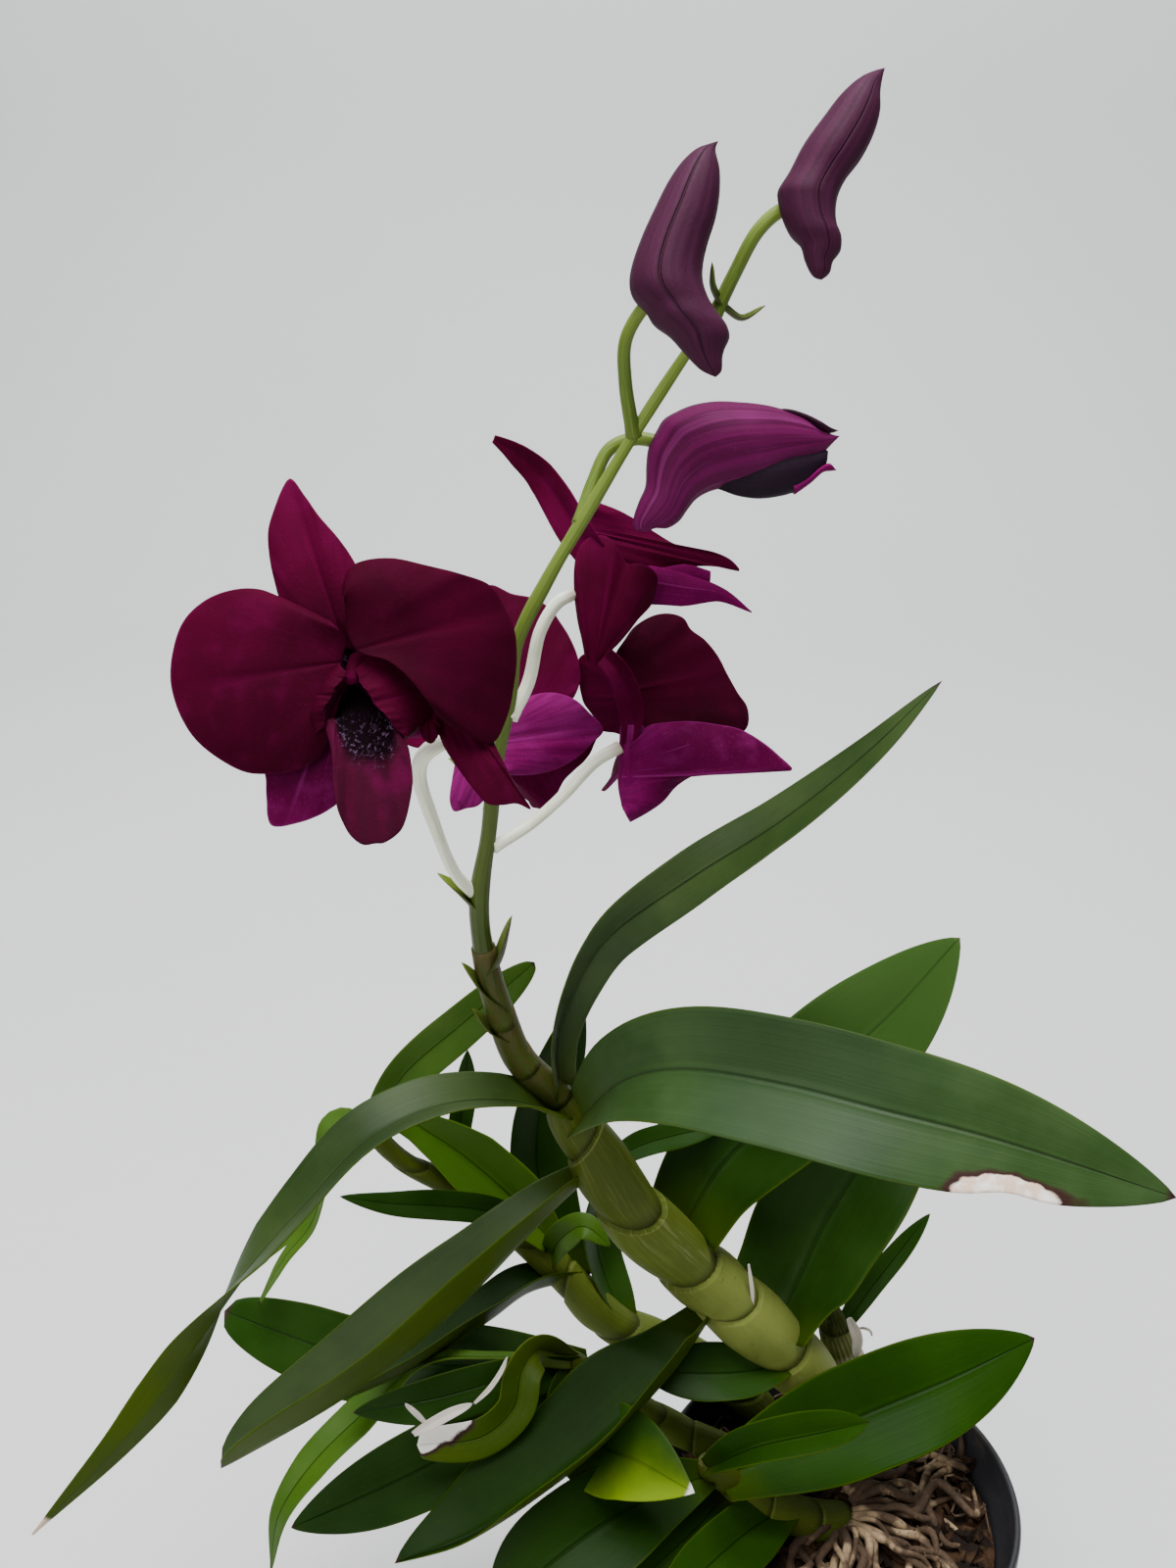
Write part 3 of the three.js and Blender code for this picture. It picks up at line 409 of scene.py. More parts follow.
# ---- Canes --------------------------------------------------------------------------------------
# Jointed fleshy canes. Each joint wears a ribbed sheath, green when young and papery when old, that
# flares to a slanting dry rim and hides the foot of the next; painted shade darkens that foot. All stand in the
# rhizome.
CANE_PALE, CANE_GREEN, CANE_OLIVE = (0.19, 0.225, 0.045), (0.09, 0.12, 0.014), (0.045, 0.062, 0.004)
# The darkest cane colour serves both the dark flecks and the painted shade at the foot of each joint.
CANE_RIM, CANE_SHADOW_AND_FLECK, PAPER = (0.2, 0.21, 0.07), (0.016, 0.02, 0.002), (0.55, 0.5, 0.38)
CANES = {
    "flowering_cane": dict(
        points=[(11, 26, 86), (5, 25, 102), (-8, 22, 125), (-35, 17, 161), (-62, 11, 196), (-76, 8, 224),
                (-84, 5, 243)],
        radius=[7, 8.2, 9.6, 9.8, 9.2, 9.2, 7.8, 5.4], flare=0.24,
        rims=[0, 0.09, 0.19, 0.31, 0.475, 0.58, 0.745, 0.895, 1],
        slants=[0, 0.2, -0.2, -0.05, -0.2, -0.15, -0.2, 0.2, 0]),
    "rear_cane": dict(
        points=[(-13, 33, 85), (-23, 36, 99), (-45, 40, 115), (-69, 42, 127), (-89, 44, 151),
                (-116, 44, 178), (-134, 42, 192), (-144, 40, 208)],
        radius=[5, 6.2, 6.6, 6.2, 5, 4, 3.2, 2.6], rims=[k / 8 for k in range(9)], flare=0.2,
        slants=[0.25 * (-1) ** k for k in range(9)]),
    "young_cane": dict(
        points=[(3, 0, 87), (-5, -4, 91), (-17, -8, 100), (-30, -11, 112), (-43, -14, 128)],
        radius=[5.5, 6, 5, 4.2, 3.4], rims=[k / 4 for k in range(5)], flare=0.15,
        slants=[0.15 * (-1) ** k for k in range(5)]),
    "spent_cane": dict(points=[(13, 41, 85), (13, 42, 96), (7, 43, 115), (0, 44, 135)],
                       radius=[4.5, 6, 6, 4.8, 2.5], rims=[k / 4 for k in range(5)], flare=0.12,
                       slants=[0.1 * (-1) ** k for k in range(5)]),
    "side_cane": dict(points=[(-14, 20, 86), (-38, 13, 104), (-58, 10, 121), (-76, 8, 139), (-83, 7, 147)],
                      radius=[4.5, 5, 4.6, 4, 3.2], rims=[k / 5 for k in range(6)], flare=0.15,
                      slants=[0.2 * (-1) ** k for k in range(6)]),
}


def joint_at(turn, v, rims, slants):
    """How far up the outermost sheath the place is. Each rim slants by its share of a joint."""
    def rim(k):
        if k in (0, len(rims) - 1):
            return rims[k]
        return rims[k] - slants[k] * math.sin(turn) * (rims[k + 1] - rims[k - 1]) / 2
    k = sum(v >= rim(k) for k in range(1, len(rims) - 1))
    return (v - rim(k)) / (rim(k + 1) - rim(k))


def sheathed(radius, rims, flare, slants, ribs=0.02):
    """A cane's radius: it swells through each joint, steps in under the rim and ends in a dome."""
    def at(turn, v):
        step = joint_at(turn, v, rims, slants)
        swell = flare * (math.sin(math.pi * min(step / 1.25, 1)) ** 0.7 - 0.65)
        dome = math.sqrt(max(1 - (max(v - 0.95, 0) / 0.05) ** 2, 0))
        return spread(radius, v) * (1 + swell + ribs * math.sin(turn * 23)) * dome
    return at


def cane_skin(name, pale, green, olive, dryness):
    finish = Finish(name, {"Specular IOR Level": 0.12})
    turn, along = finish.surface()
    step = finish.node("Attribute", {"attribute_name": "step"}, output=2)
    strands = finish.wrapped(turn, along * 1.2, 9, 4)
    patch, fleck = finish.grain(50, 4), finish.grain(420, 3)
    body = finish.mix(along.fade(0.53, 0.61), pale, green)
    body = finish.mix(along.fade(0.68, 0.8), body, olive)
    body = finish.mix(patch.fade(0.35, 0.7) * 0.45, body, olive)
    body = finish.mix(strands.fade(0.45, 0.75) * 0.25, body, pale)
    # Painted shade: the narrow foot of each joint, tucked in above the rim of the joint below, is darkened.
    body = finish.mix((1 - step.fade(0.0, 0.2)) * 0.75, body, CANE_SHADOW_AND_FLECK)
    body = finish.mix((patch + strands * 0.8).fade(1.1, 1.16) * dryness, body, PAPER)
    body = finish.mix(fleck.fade(0.66, 0.74) * 0.25, body, CANE_SHADOW_AND_FLECK)
    colour = finish.mix(step.fade(0.965, 0.985) * 0.4, body, CANE_RIM)
    return finish.feed(Base_Color=colour, Roughness=0.46 + strands * 0.2,
                       Normal=finish.bump(strands * 0.5 + fleck * 0.3, 0.0003))


for name, cane in CANES.items():
    rims, slants = cane["rims"], cane["slants"]
    old = name == "spent_cane"
    mesh = bmesh.new()
    stem(mesh, cane["points"], sheathed(cane["radius"], rims, cane["flare"], slants, 0.05 if old else 0.004),
         92, len(rims) * 40, up=(0.3, 1, 0.2))
    bmesh.ops.recalc_face_normals(mesh, faces=mesh.faces)
    foot = CANE_PALE if name == "flowering_cane" else CANE_GREEN
    tones = (PAPER, CANE_RIM, CANE_OLIVE, 1.0) if old else (foot, CANE_GREEN, CANE_OLIVE, 0.08)
    made = piece(name + "_jointed", mesh, [cane_skin(name + "_skin", *tones)],
                 "old_cane" if old else "canes", name)
    steps = made.data.attributes.new("step", "FLOAT", "CORNER")
    chart = made.data.uv_layers["UVMap"].uv
    for i, corner in enumerate(chart):
        turn, along = corner.vector
        steps.data[i].value = joint_at(2 * math.pi * turn, along, rims, slants)

# ---- Flower stem --------------------------------------------------------------------------------
# A smooth green stem from the top of the flowering cane, zigzagging at each flower stalk. Brown
# papery sheaths wrap its foot; a small pointed bract sits under each stalk.
SPIKE = [(-82, 6, 237), (-84, 5, 242), (-94, 3, 255), (-99, 2, 271), (-102, 0, 287), (-103, -2, 305), (-100, -3, 325),
         (-98, -4, 341), (-94, -4, 361), (-92, -4, 374), (-85, -2, 388), (-76, 0, 403), (-65, 2, 421),
         (-55, 4, 436), (-47, 6, 447)]
SPIKE_RADIUS = [3.4, 3.6, 3.3, 2.8, 2.4, 1.9, 1.65, 1.6, 1.6, 1.5, 1.35, 1.3, 1.2]
SPIKE_FOOT, SPIKE_OLIVE = (0.02, 0.032, 0.003), (0.045, 0.07, 0.006)
SPIKE_GREEN, SPIKE_PALE, BRACT_TAN = (0.065, 0.11, 0.008), (0.15, 0.22, 0.025), (0.065, 0.055, 0.016)
BRACTS = [
    ([(-98, 1, 272), (-103, -1, 278), (-108, -2, 288)], (0.9, -0.2, 0.4), 6),
    ([(-102, 0, 281), (-98, -1, 288), (-95, -1, 301)], (-0.9, -0.2, 0.3), 6),
    ([(-103, -2, 301), (-107, -3, 307), (-113, -3, 314)], (0.8, -0.2, 0.6), 5),
    ([(-97, 1, 262), (-102, 0, 266), (-106, 0, 273)], (0.9, -0.2, 0.4), 6),
    ([(-98, -4, 337), (-103, -4, 340), (-109, -4, 345)], (0.6, -0.3, 0.8), 4),
    ([(-48, 5, 446), (-50, 4, 450), (-50, 3, 455)], (0.9, -0.3, 0.1), 3),
    ([(-48, 6, 446), (-43, 6, 443), (-38, 6, 446)], (0, -0.2, 1), 3),
]


def outline(t, foot=0.5, widest=0.4, swell=1.6, point=0.8):
    """A blade's half width at t as a share of its widest: a narrow foot, a belly and a tip."""
    if t < widest:
        return foot + (1 - foot) * math.sin(math.pi / 2 * t / widest)
    past = min((t - widest) / (1 - widest), 1)
    return max(math.cos(math.pi / 2 * past ** swell), 0) ** point


def blade(mesh, points, faces, width, fold=(0.5, 0.15), curl=(0.2, -0.2), thick=0.8, rows=44, cols=28,
          crowd=1.0, shape=None, relief=None, trim=None, sides=(0, 1), **form):
    """A leaf, petal or bract in millimetres. Its midrib follows points, its upper side looks along
    faces; each half leaves the midrib at the angle fold and bends by curl; relief(a, t) lifts it and
    trim(a, t) draws its margin in.
    The map's first value runs from -1 at one margin to 1 at the other, its second along it."""
    line = route(points)
    known = {}

    def across_at(v):
        if v not in known:
            t = 1 - (1 - v) ** crowd
            spot, along = line(round(t, 6))
            face = spread(faces, t)
            face = (face - along * face.dot(along)).normalized()
            share = spread(shape, t) if shape else outline(t, **form)
            known[v] = t, spot, face, along.cross(face), share * width / 2
        return known[v]

    def lay(u, v):
        t, spot, face, across, half = across_at(v)
        a = -math.cos(2 * math.pi * u)
        lift, bend = spread(fold, t), spread(curl, t) or 0.001
        turn = lift + bend * abs(a)
        flat = min(1, abs(a) * 5)
        depth = math.copysign(abs(math.sin(2 * math.pi * u)) ** 0.45, 0.5 - u) * thick / 2
        depth *= min(1, 0.3 + 3 * half / width)
        out = half * (math.sin(turn) - math.sin(lift)) / bend - depth * math.sin(turn) * flat
        rise = half * (math.cos(lift) - math.cos(turn)) / bend + depth * math.cos(turn * flat)
        rise += relief(a, t) if relief else 0
        out *= trim(a, t) if trim else 1
        return spot + (across * math.copysign(out, a) + face * rise) * MM
    made = net(mesh, cols, rows, lay, lambda u, v: sides[0] if u < 0.5 else sides[1])
    chart = mesh.loops.layers.uv["UVMap"]
    for loop in (loop for face in made for loop in face.loops):
        loop[chart].uv = -math.cos(2 * math.pi * loop[chart].uv.x), loop[chart].uv.y


def stem_skin(name, green, pale, tip, tip_from):
    finish = Finish(name, {"Specular IOR Level": 0.25})
    turn, along = finish.surface()
    strands = finish.wrapped(turn, along * 0.6, 5, 3)
    patch = finish.grain(90, 3)
    body = finish.mix(strands.fade(0.4, 0.7) * 0.6 + patch.fade(0.5, 0.8) * 0.4, green, pale)
    colour = finish.mix(along.fade(tip_from, 1.0), body, tip)
    return finish.feed(Base_Color=colour, Roughness=0.34 + strands * 0.2, Normal=finish.bump(strands, 0.0002))


def papery():
    finish = Finish("papery_bract", {"Specular IOR Level": 0.15})
    across, along = finish.surface()
    strands = finish.stretched(across * 2, along * 0.6, 14, 4)
    colour = finish.mix(strands.fade(0.35, 0.7), SPIKE_OLIVE, BRACT_TAN)
    colour = finish.mix(along.fade(0.35, 0.9), colour, BRACT_TAN)
    return finish.feed(Base_Color=colour, Normal=finish.bump(strands, 0.0002))


spike_skin = stem_skin("stem_green", SPIKE_FOOT, SPIKE_OLIVE, SPIKE_PALE, 0.1)
bract_skin = papery()
spike = bmesh.new()
stem(spike, SPIKE, lambda turn, v: spread(SPIKE_RADIUS, v) * (
    1 + (0.05 if v < 0.25 else 0.025) * math.sin(turn * 9) + 0.05 * math.cos(v * 2 * math.pi * 9)),
    36, 200, up=(0, 1, 0))
for points, face, width in BRACTS:
    blade(spike, points, [face], width, fold=(0.9, 0.4), curl=(0.1, 0.1), thick=0.5, rows=16, cols=16,
          foot=0.8, widest=0.2)
for start, end, over in ((0.02, 0.11, 1.18), (0.08, 0.17, 1.16), (0.15, 0.26, 1.12)):
    line = route(SPIKE)
    stretch = [tuple(line(start + (end - start) * k / 4)[0] / MM) for k in range(5)]
    radii = [spread(SPIKE_RADIUS, start + (end - start) * k / 4) * over for k in range(5)]
    stem(spike, stretch, lambda turn, v, radii=radii: spread(radii, v) * (
        1 + 0.1 * v * math.cos(turn) + 0.02 * math.sin(turn * 17)), 40, 12, up=(0, 1, 0), material=1)
bmesh.ops.recalc_face_normals(spike, faces=spike.faces)
piece("stem_of_flowers", spike, [spike_skin, bract_skin], "green_stems", "flower_spike")

# ---- Flower stalks ------------------------------------------------------------------------------
# Each flower and bud hangs on its own smooth stalk, milky green below and tinged where it swells
# into the flower. The stalks of the youngest buds are still green.
MILK, MILK_SHADE, STALK_FLUSH = (0.95, 0.95, 0.82), (0.6, 0.66, 0.34), (0.6, 0.5, 0.4)
STALKS = {
    "stalk_1": ([(-103, -1, 306), (-108, -6, 315), (-112, -14, 333), (-113.5, -24, 349), (-111.5, -31, 357),
                 (-108, -34, 361), (-104, -31, 362)], [2, 1.8, 1.8, 2, 2, 2.2, 2.4], True),
    "stalk_2": ([(-100, -1, 330), (-98, 8, 334), (-99, 13, 338), (-100, 17, 340)], [1.8, 1.6, 1.8], True),
    "stalk_3": ([(-99, -3, 321), (-90, 4, 324), (-82, 8, 330), (-74, 13, 337), (-68, 15, 340)],
                [1.9, 1.7, 1.8, 2], True),
    "stalk_4": ([(-94, -4, 355), (-90, 1, 362), (-87, 4, 374), (-83, 6, 380), (-79, 7, 382)],
                [1.9, 1.9, 1.8, 1.8], True),
    "stalk_5": ([(-78, 0, 400), (-75, 5, 408), (-71, 9, 415), (-65, 10, 417), (-58, 8, 416)],
                [1.6, 1.5, 1.5, 1.6], False),
    "stalk_6": ([(-66, 2, 419), (-68, 0, 431), (-68, -2, 440), (-64, -3, 447), (-59, -4, 451)],
                [1.7, 1.5, 1.4, 1.4], False),
    "stalk_7": ([(-49, 5, 444), (-45, 7, 452), (-40, 8, 461), (-35, 9, 465), (-29, 9, 466)],
                [1.6, 1.5, 1.5, 1.5], False),
}
milky = stem_skin("stalk_milky", MILK, MILK_SHADE, STALK_FLUSH, 0.9)
leafy = stem_skin("stalk_green", SPIKE_GREEN, SPIKE_PALE, SPIKE_PALE, 0.3)
for name, (points, radius, pale) in STALKS.items():
    mesh = bmesh.new()
    slim = 0.82 if pale else 1
    stem(mesh, points, lambda turn, v: slim * spread(radius, v) * (
        1 + 0.015 * math.sin(turn * 6) + 0.12 * max(0, 1 - v * 12)), 28, 60, up=(0.2, 1, 0.1))
    bmesh.ops.recalc_face_normals(mesh, faces=mesh.faces)
    piece(name + "_smooth", mesh, [milky if pale else leafy], "pale_stems" if pale else "green_stems", name)

# ---- Leaves -------------------------------------------------------------------------------------
# Leathery strap leaves in two ranks, each clasping its joint and folded along a sunk midrib. They
# are dark and faintly waxy above, paler below, with fine long veins and a thin light margin.
LEAF_UNDER, LEAF_ARCH_SHADOW = (0.045, 0.075, 0.0006), (0.007, 0.026, 0.006)
LEAF_YELLOW, LEAF_SUNLIT = (0.15, 0.24, 0.0008), (0.04, 0.09, 0.016)
LEAF_TONES = {
    "dark": ((0.009, 0.034, 0.0008), (0.022, 0.062, 0.006), LEAF_UNDER, 0.1),
    "broad": ((0.017, 0.042, 0.008), (0.05, 0.092, 0.03), LEAF_UNDER, 0.12),
    "young": ((0.009, 0.036, 0.0004), (0.018, 0.056, 0.002), LEAF_UNDER, 0.05),
    "waxy": ((0.015, 0.034, 0.006), (0.042, 0.072, 0.016), LEAF_UNDER, 0.17),
    # The deep tone is painted shade: a darker copy of the leaf colours for leaves that lie in the shade of others.
    "deep": ((0.005, 0.02, 0.0003), (0.012, 0.036, 0.003), (0.035, 0.06, 0.001), 0.06),
    "light": ((0.032, 0.085, 0.002), (0.06, 0.125, 0.01), (0.07, 0.12, 0.005), 0.15),
    "olive": ((0.03, 0.06, 0.002), (0.07, 0.1, 0.004), (0.1, 0.13, 0.003), 0.12),
}
DRY_TAN, DRY_BROWN, DRY_WHITE = (0.7, 0.52, 0.4), (0.03, 0.012, 0.01), (0.85, 0.82, 0.76)
LEAVES = {
    "top_leaf": dict(points=[(-84, 5, 245), (-84, 1, 263), (-79, -3, 282), (-71, -5, 297),
        (-51, -8, 315), (-30, -11, 332), (-11, -13, 351), (3, -14, 368)], faces=[(0.7, -0.6, 0.2),
        (0.5, -0.8, 0.3), (-0.5, -0.5, 0.6), (-0.6, -0.5, 0.6)], width=14, foot=0.7, tone="waxy"),
    "right_leaf_1": dict(points=[(-79, 4, 234), (-66, -10, 258), (-52, -20, 268), (-29, -32, 272),
        (-7, -42, 272), (16, -48, 269), (57, -58, 260)], faces=[(-0.6, -0.5, 0.7), (0, -0.8, 0.6),
        (0.1, -0.8, 0.5)], width=33, foot=0.35, tone="broad"),
    "left_leaf_1": dict(points=[(-84, 4, 236), (-96, -6, 248), (-113, -16, 254), (-130, -25, 251),
        (-146, -33, 237), (-161, -40, 221), (-186, -52, 188), (-216, -62, 157)],
        faces=[(0.4, 0, 0.9), (-0.3, -0.2, 0.9), (-0.5, -0.1, 0.8), (-0.4, 0.8, 0), (-0.4, 0.8, 0)],
        width=19, shape=[0.6, 0.85, 1, 1, 0.95, 0.85, 0.8, 0.65, 0.35, 0.03], tone="waxy"),
    "left_leaf_2": dict(points=[(-77, 8, 211), (-85, -2, 210), (-94, -11, 206), (-105, -19, 198),
        (-120, -28, 188), (-141, -38, 177), (-171, -48, 164)], faces=[(-0.4, 0, 0.9),
        (-0.55, 0.17, 0.81)], width=33, foot=0.35, widest=0.5, point=0.5, fold=(0.9, 0.88, 0.8),
        curl=[0.05], tone="waxy"),
    "left_leaf_3": dict(points=[(-40, 13, 155), (-47, 4, 151), (-54, -5, 149), (-70, -18, 141),
        (-87, -28, 133), (-108, -36, 124), (-129, -42, 121)], faces=[(-0.5, 0, 0.8),
        (-0.62, 0, 0.79)], width=41, foot=0.35, fold=(0.8, 0.72, 0.6), curl=[0.05], tone="deep"),
    "left_leaf_4": dict(points=[(-16, 15, 135), (-33, 8, 139), (-47, 6, 141), (-60, 5, 142)],
        faces=[(0, -0.5, 0.8)], width=18, tone="dark"),
    "right_leaf_2": dict(points=[(-47, 22, 183), (-36, 30, 199), (-12, 35, 222), (11, 37, 246),
        (29, 38, 272)], faces=[(-0.3, -0.8, 0.4), (-0.55, -0.6, 0.6)], width=38, foot=0.75,
        tone="deep"),
    "right_leaf_3": dict(points=[(-19, 24, 138), (-9, 37, 150), (-2, 42, 166), (7, 45, 184),
        (17, 47, 204), (24, 49, 220)], faces=[(-0.5, -0.6, 0.4), (-0.3, -0.9, 0.3)], width=43,
        foot=0.85, widest=0.35, tone="dark"),
    "right_leaf_4": dict(points=[(-72, 12, 212), (-62, 20, 213), (-50, 27, 212), (-35, 33, 211)],
        faces=[(0, -0.6, 0.8)], width=9, tone="dark"),
    "spent_cane_leaf": dict(points=[(5, 42, 118), (15, 46, 134), (25, 49, 149), (34, 52, 162)],
        faces=[(-0.8, -0.5, 0.4)], width=9, tone="dark"),
    "side_leaf_1": dict(points=[(-81, 6, 143), (-82, -3, 138), (-76, -11, 134), (-62, -25, 140),
        (-47, -37, 142)], faces=[(0.5, -0.6, 0.6), (0, -0.7, 0.7)], width=27, widest=0.5,
        point=0.95, swell=1.1, tone="dark"),
    "young_leaf_1": dict(points=[(-38, -13, 119), (-19, -4, 120), (10, 8, 123), (37, 16, 129),
        (63, 24, 137)], faces=[(0, -0.6, 0.8), (0.1, -0.75, 0.66)], width=34, tone="young"),
    "young_leaf_2": dict(points=[(-41, -16, 127), (-28, -21, 141), (-11, -20, 145), (4, -15, 144)],
        faces=[(0, -0.4, 0.9), (0, -0.5, 0.9)], width=15, fold=[0.8, 0.6], tone="young"),
    "young_leaf_3": dict(points=[(-41, -14, 122), (-63, -26, 124), (-83, -40, 122),
        (-103, -52, 112)], faces=[(0, -0.6, 0.8)], width=30, foot=0.3, widest=0.55, tone="deep"),
    "young_leaf_4": dict(points=[(-35, -9, 108), (-45, -21, 108), (-60, -34, 106), (-76, -45, 100)],
        faces=[(0.2, -0.7, 0.7)], width=22, tone="young"),
    "young_leaf_5": dict(points=[(-16, -8, 102), (-28, -19, 106), (-43, -34, 108), (-58, -47, 103)],
        faces=[(0.3, -0.6, 0.8)], width=20, tone="young"),
    "side_leaf_2": dict(points=[(-73, 8, 138), (-93, -4, 136), (-113, -12, 130), (-138, -20, 122),
        (-161, -26, 115)], faces=[(-0.2, -0.7, 0.7)], width=24, tone="deep"),
    "side_leaf_3": dict(points=[(-76, 10, 138), (-113, 22, 128), (-144, 24, 127), (-167, 24, 137),
        (-188, 24, 148)], faces=[(0, -0.5, 0.8), (0, -0.8, 0.6)], width=26, point=0.4, tone="dark"),
    "side_leaf_4": dict(points=[(-80, 7, 144), (-98, -7, 153), (-120, -14, 152), (-142, -18, 151)],
        faces=[(0, -0.9, 0.4)], width=15, tone="dark"),
    "torn_leaf": dict(points=[(-81, 6, 147), (-91, -4, 160), (-95, -10, 158), (-97, -15, 150),
        (-106, -19, 143), (-124, -22, 143)], faces=[(0.4, -0.8, 0.3), (0.1, -0.8, 0.5)], width=12,
        point=0.2, tone="olive"),
    "rear_leaf_1": dict(points=[(-142, 40, 205), (-130, 38, 226), (-112, 36, 245), (-91, 33, 267)],
        faces=[(0.1, -0.8, 0.3), (0.2, -0.8, 0.2)], width=14, point=0.5, tone="light"),
    "rear_leaf_2": dict(points=[(-142, 40, 204), (-150, 35, 209), (-154, 31, 196), (-159, 28, 179),
        (-168, 26, 167), (-177, 24, 151)], faces=[(-0.5, -0.5, 0.5), (-0.8, -0.5, 0.3)], width=12,
        shape=[0.6, 1, 0.9, 0.6, 0.4, 0.35, 0.1], tone="light"),
    "rear_leaf_3": dict(points=[(-88, 44, 158), (-104, 46, 178), (-123, 46, 197), (-138, 44, 207),
        (-152, 37, 199), (-163, 33, 176), (-179, 29, 160)], faces=[(0.4, -0.7, 0.5), (0, -0.8, 0.6),
        (-0.4, -0.7, 0.6)], width=22, shape=[0.5, 1, 0.95, 0.5, 0.35, 0.25, 0.2, 0.05],
        tone="light"),
    "rear_leaf_4": dict(points=[(-93, 44, 161), (-107, 34, 178), (-121, 27, 186), (-135, 21, 192),
        (-148, 17, 198)], faces=[(0, -0.6, 0.8)], width=10, widest=0.3, tone="deep"),
    "rear_leaf_5": dict(points=[(-80, 44, 142), (-92, 60, 168), (-92, 66, 190), (-84, 70, 214),
        (-78, 72, 231)], faces=[(0.5, -0.8, 0.1)], width=24, tone="deep"),
    "rear_leaf_6": dict(points=[(-80, 44, 142), (-95, 34, 146), (-106, 26, 143), (-118, 18, 140),
        (-135, 8, 137), (-150, 0, 136)], faces=[(-0.4, 0, 0.9), (-0.5, 0.15, 0.85)], width=21,
        fold=[0.8], curl=[0.05], tone="deep"),
    "side_leaf_5": dict(points=[(-80, 8, 143), (-105, 12, 141), (-126, 14, 137), (-143, 9, 123),
        (-158, -2, 114), (-168, -10, 102), (-172, -14, 82)], faces=[(0, 0.5, 0.85), (0, -0.2, 0.9),
        (-0.4, -0.6, 0.6)], width=13, shape=[0.4, 0.35, 0.4, 0.7, 1, 0.9, 0.5, 0.05], tone="light"),
    "rear_leaf_7": dict(points=[(-64, 42, 126), (-72, 50, 142), (-74, 53, 157), (-73, 55, 172)],
        faces=[(0.8, -0.6, 0.1)], width=18, tone="dark"),
    "rear_leaf_8": dict(points=[(-118, 44, 180), (-116, 53, 196), (-114, 55, 208), (-113, 56, 222)],
        faces=[(0, -1, 0.2)], width=8, tone="dark"),
    "rear_leaf_9": dict(points=[(-88, 43, 150), (-84, 36, 166), (-77, 33, 173), (-69, 30, 168)],
        faces=[(-0.4, -0.6, 0.6), (0.3, -0.6, 0.7)], width=10, tone="light"),
}


def leaf_skin(name, top, bloom, under, wax, upper, mark=None):
    finish = Finish(name, {"Specular IOR Level": wax if upper else 0.05})
    across, along = finish.surface()
    aside = abs(across)
    veins = finish.stretched(across, along * 0.025, 24, 4)
    patch, fine = finish.grain(34, 4), finish.grain(900, 2)
    line = 1 - aside.fade(0.0, 0.06)
    if upper:
        colour = finish.mix(patch.fade(0.35, 0.7) * 0.6 + veins.fade(0.45, 0.7) * 0.12, top, bloom)
        # Painted shade: the midrib groove on the upper side is darkened.
        colour = finish.mix(line * 0.45, colour, [share * 0.35 for share in top])
        colour = finish.mix(fine.fade(0.66, 0.76) * 0.25, colour, under)
    else:
        colour = finish.mix(patch.fade(0.3, 0.7) * 0.35 + veins.fade(0.4, 0.7) * 0.2, under, top)
        colour = finish.mix(line * 0.6, colour, bloom)
    colour = finish.mix((1 - along.fade(0.0, 0.16)) * 0.5 + aside.fade(0.955, 0.99) * 0.6, colour, under)
    colour = finish.mix(along.fade(0.982, 0.995), colour, DRY_BROWN)
    gloss = 0.36 + patch * 0.12 + fine * 0.08
    if mark:
        colour, gloss = mark(finish, across, along, colour, gloss)
    return finish.feed(Base_Color=colour, Roughness=gloss,
                       Normal=finish.bump(veins * 0.2 - line * (0.7 if upper else -0.7), 0.0004))


def scorch_and_arch_shadow(finish, across, along, colour, gloss):
    """A dry pale patch at one margin, ringed with brown, and painted shade that darkens the leaf over its arch."""
    # Painted shade over the arch of the leaf.
    colour = finish.mix(along.fade(0.25, 0.4) * (1 - along.fade(0.55, 0.75)) * 0.55, colour, LEAF_ARCH_SHADOW)
    away = (((across - SCORCH[0]) / SCORCH[2]) ** 2 + ((along - SCORCH[1]) / SCORCH[3]) ** 2) ** 0.5
    away = away + (finish.grain(150, 4) - 0.5) * 0.7
    dry = finish.mix(finish.grain(300, 4).fade(0.4, 0.65), DRY_TAN, DRY_WHITE)
    colour = finish.mix(1 - away.fade(1.0, 1.22), colour, DRY_BROWN)
    inner = 1 - away.fade(0.86, 0.96)
    return finish.mix(inner, colour, dry), gloss + inner * 0.35


def torn(finish, across, along, colour, gloss):
    """Torn pale tissue at the end, with a brown line where it starts, further in at one margin."""
    reach = along + across * 0.14 + (finish.grain(260, 4) - 0.5) * 0.12
    colour = finish.mix(reach.fade(0.83, 0.87), colour, DRY_BROWN)
    end = reach.fade(0.88, 0.91)
    return finish.mix(end, colour, DRY_WHITE), gloss + end * 0.4


def yellowed(finish, across, along, colour, gloss):
    """A leaf that turns yellow from its end and one margin inward, and dries at the tip."""
    reach = along + across * 0.22 + (finish.grain(60, 4) - 0.5) * 0.4
    colour = finish.mix(reach.fade(0.5, 1.15), colour, LEAF_YELLOW)
    return finish.mix(along.fade(0.955, 0.98), colour, DRY_WHITE), gloss


def dry_tip(finish, across, along, colour, gloss):
    """The last few millimetres are dry."""
    return finish.mix(along.fade(0.965, 0.975), colour, DRY_TAN), gloss


def sunlit(finish, across, along, colour, gloss):
    """Painted light: the outer half is painted paler where the light falls on it."""
    return finish.mix(along.fade(0.4, 0.7) * 0.7, colour, LEAF_SUNLIT), gloss


def wavy(height, count, phase):
    return lambda a, t: height * a * a * math.sin(count * math.pi * t + phase + (1.7 if a < 0 else 0)) \
        * math.sin(math.pi * min(t * 1.1, 1))


def bitten(a, t):
    """The scorched margin has shrunk back."""
    return 1 - 0.14 * max(a, 0) * math.exp(-((t - SCORCH[1]) / 0.045) ** 2)


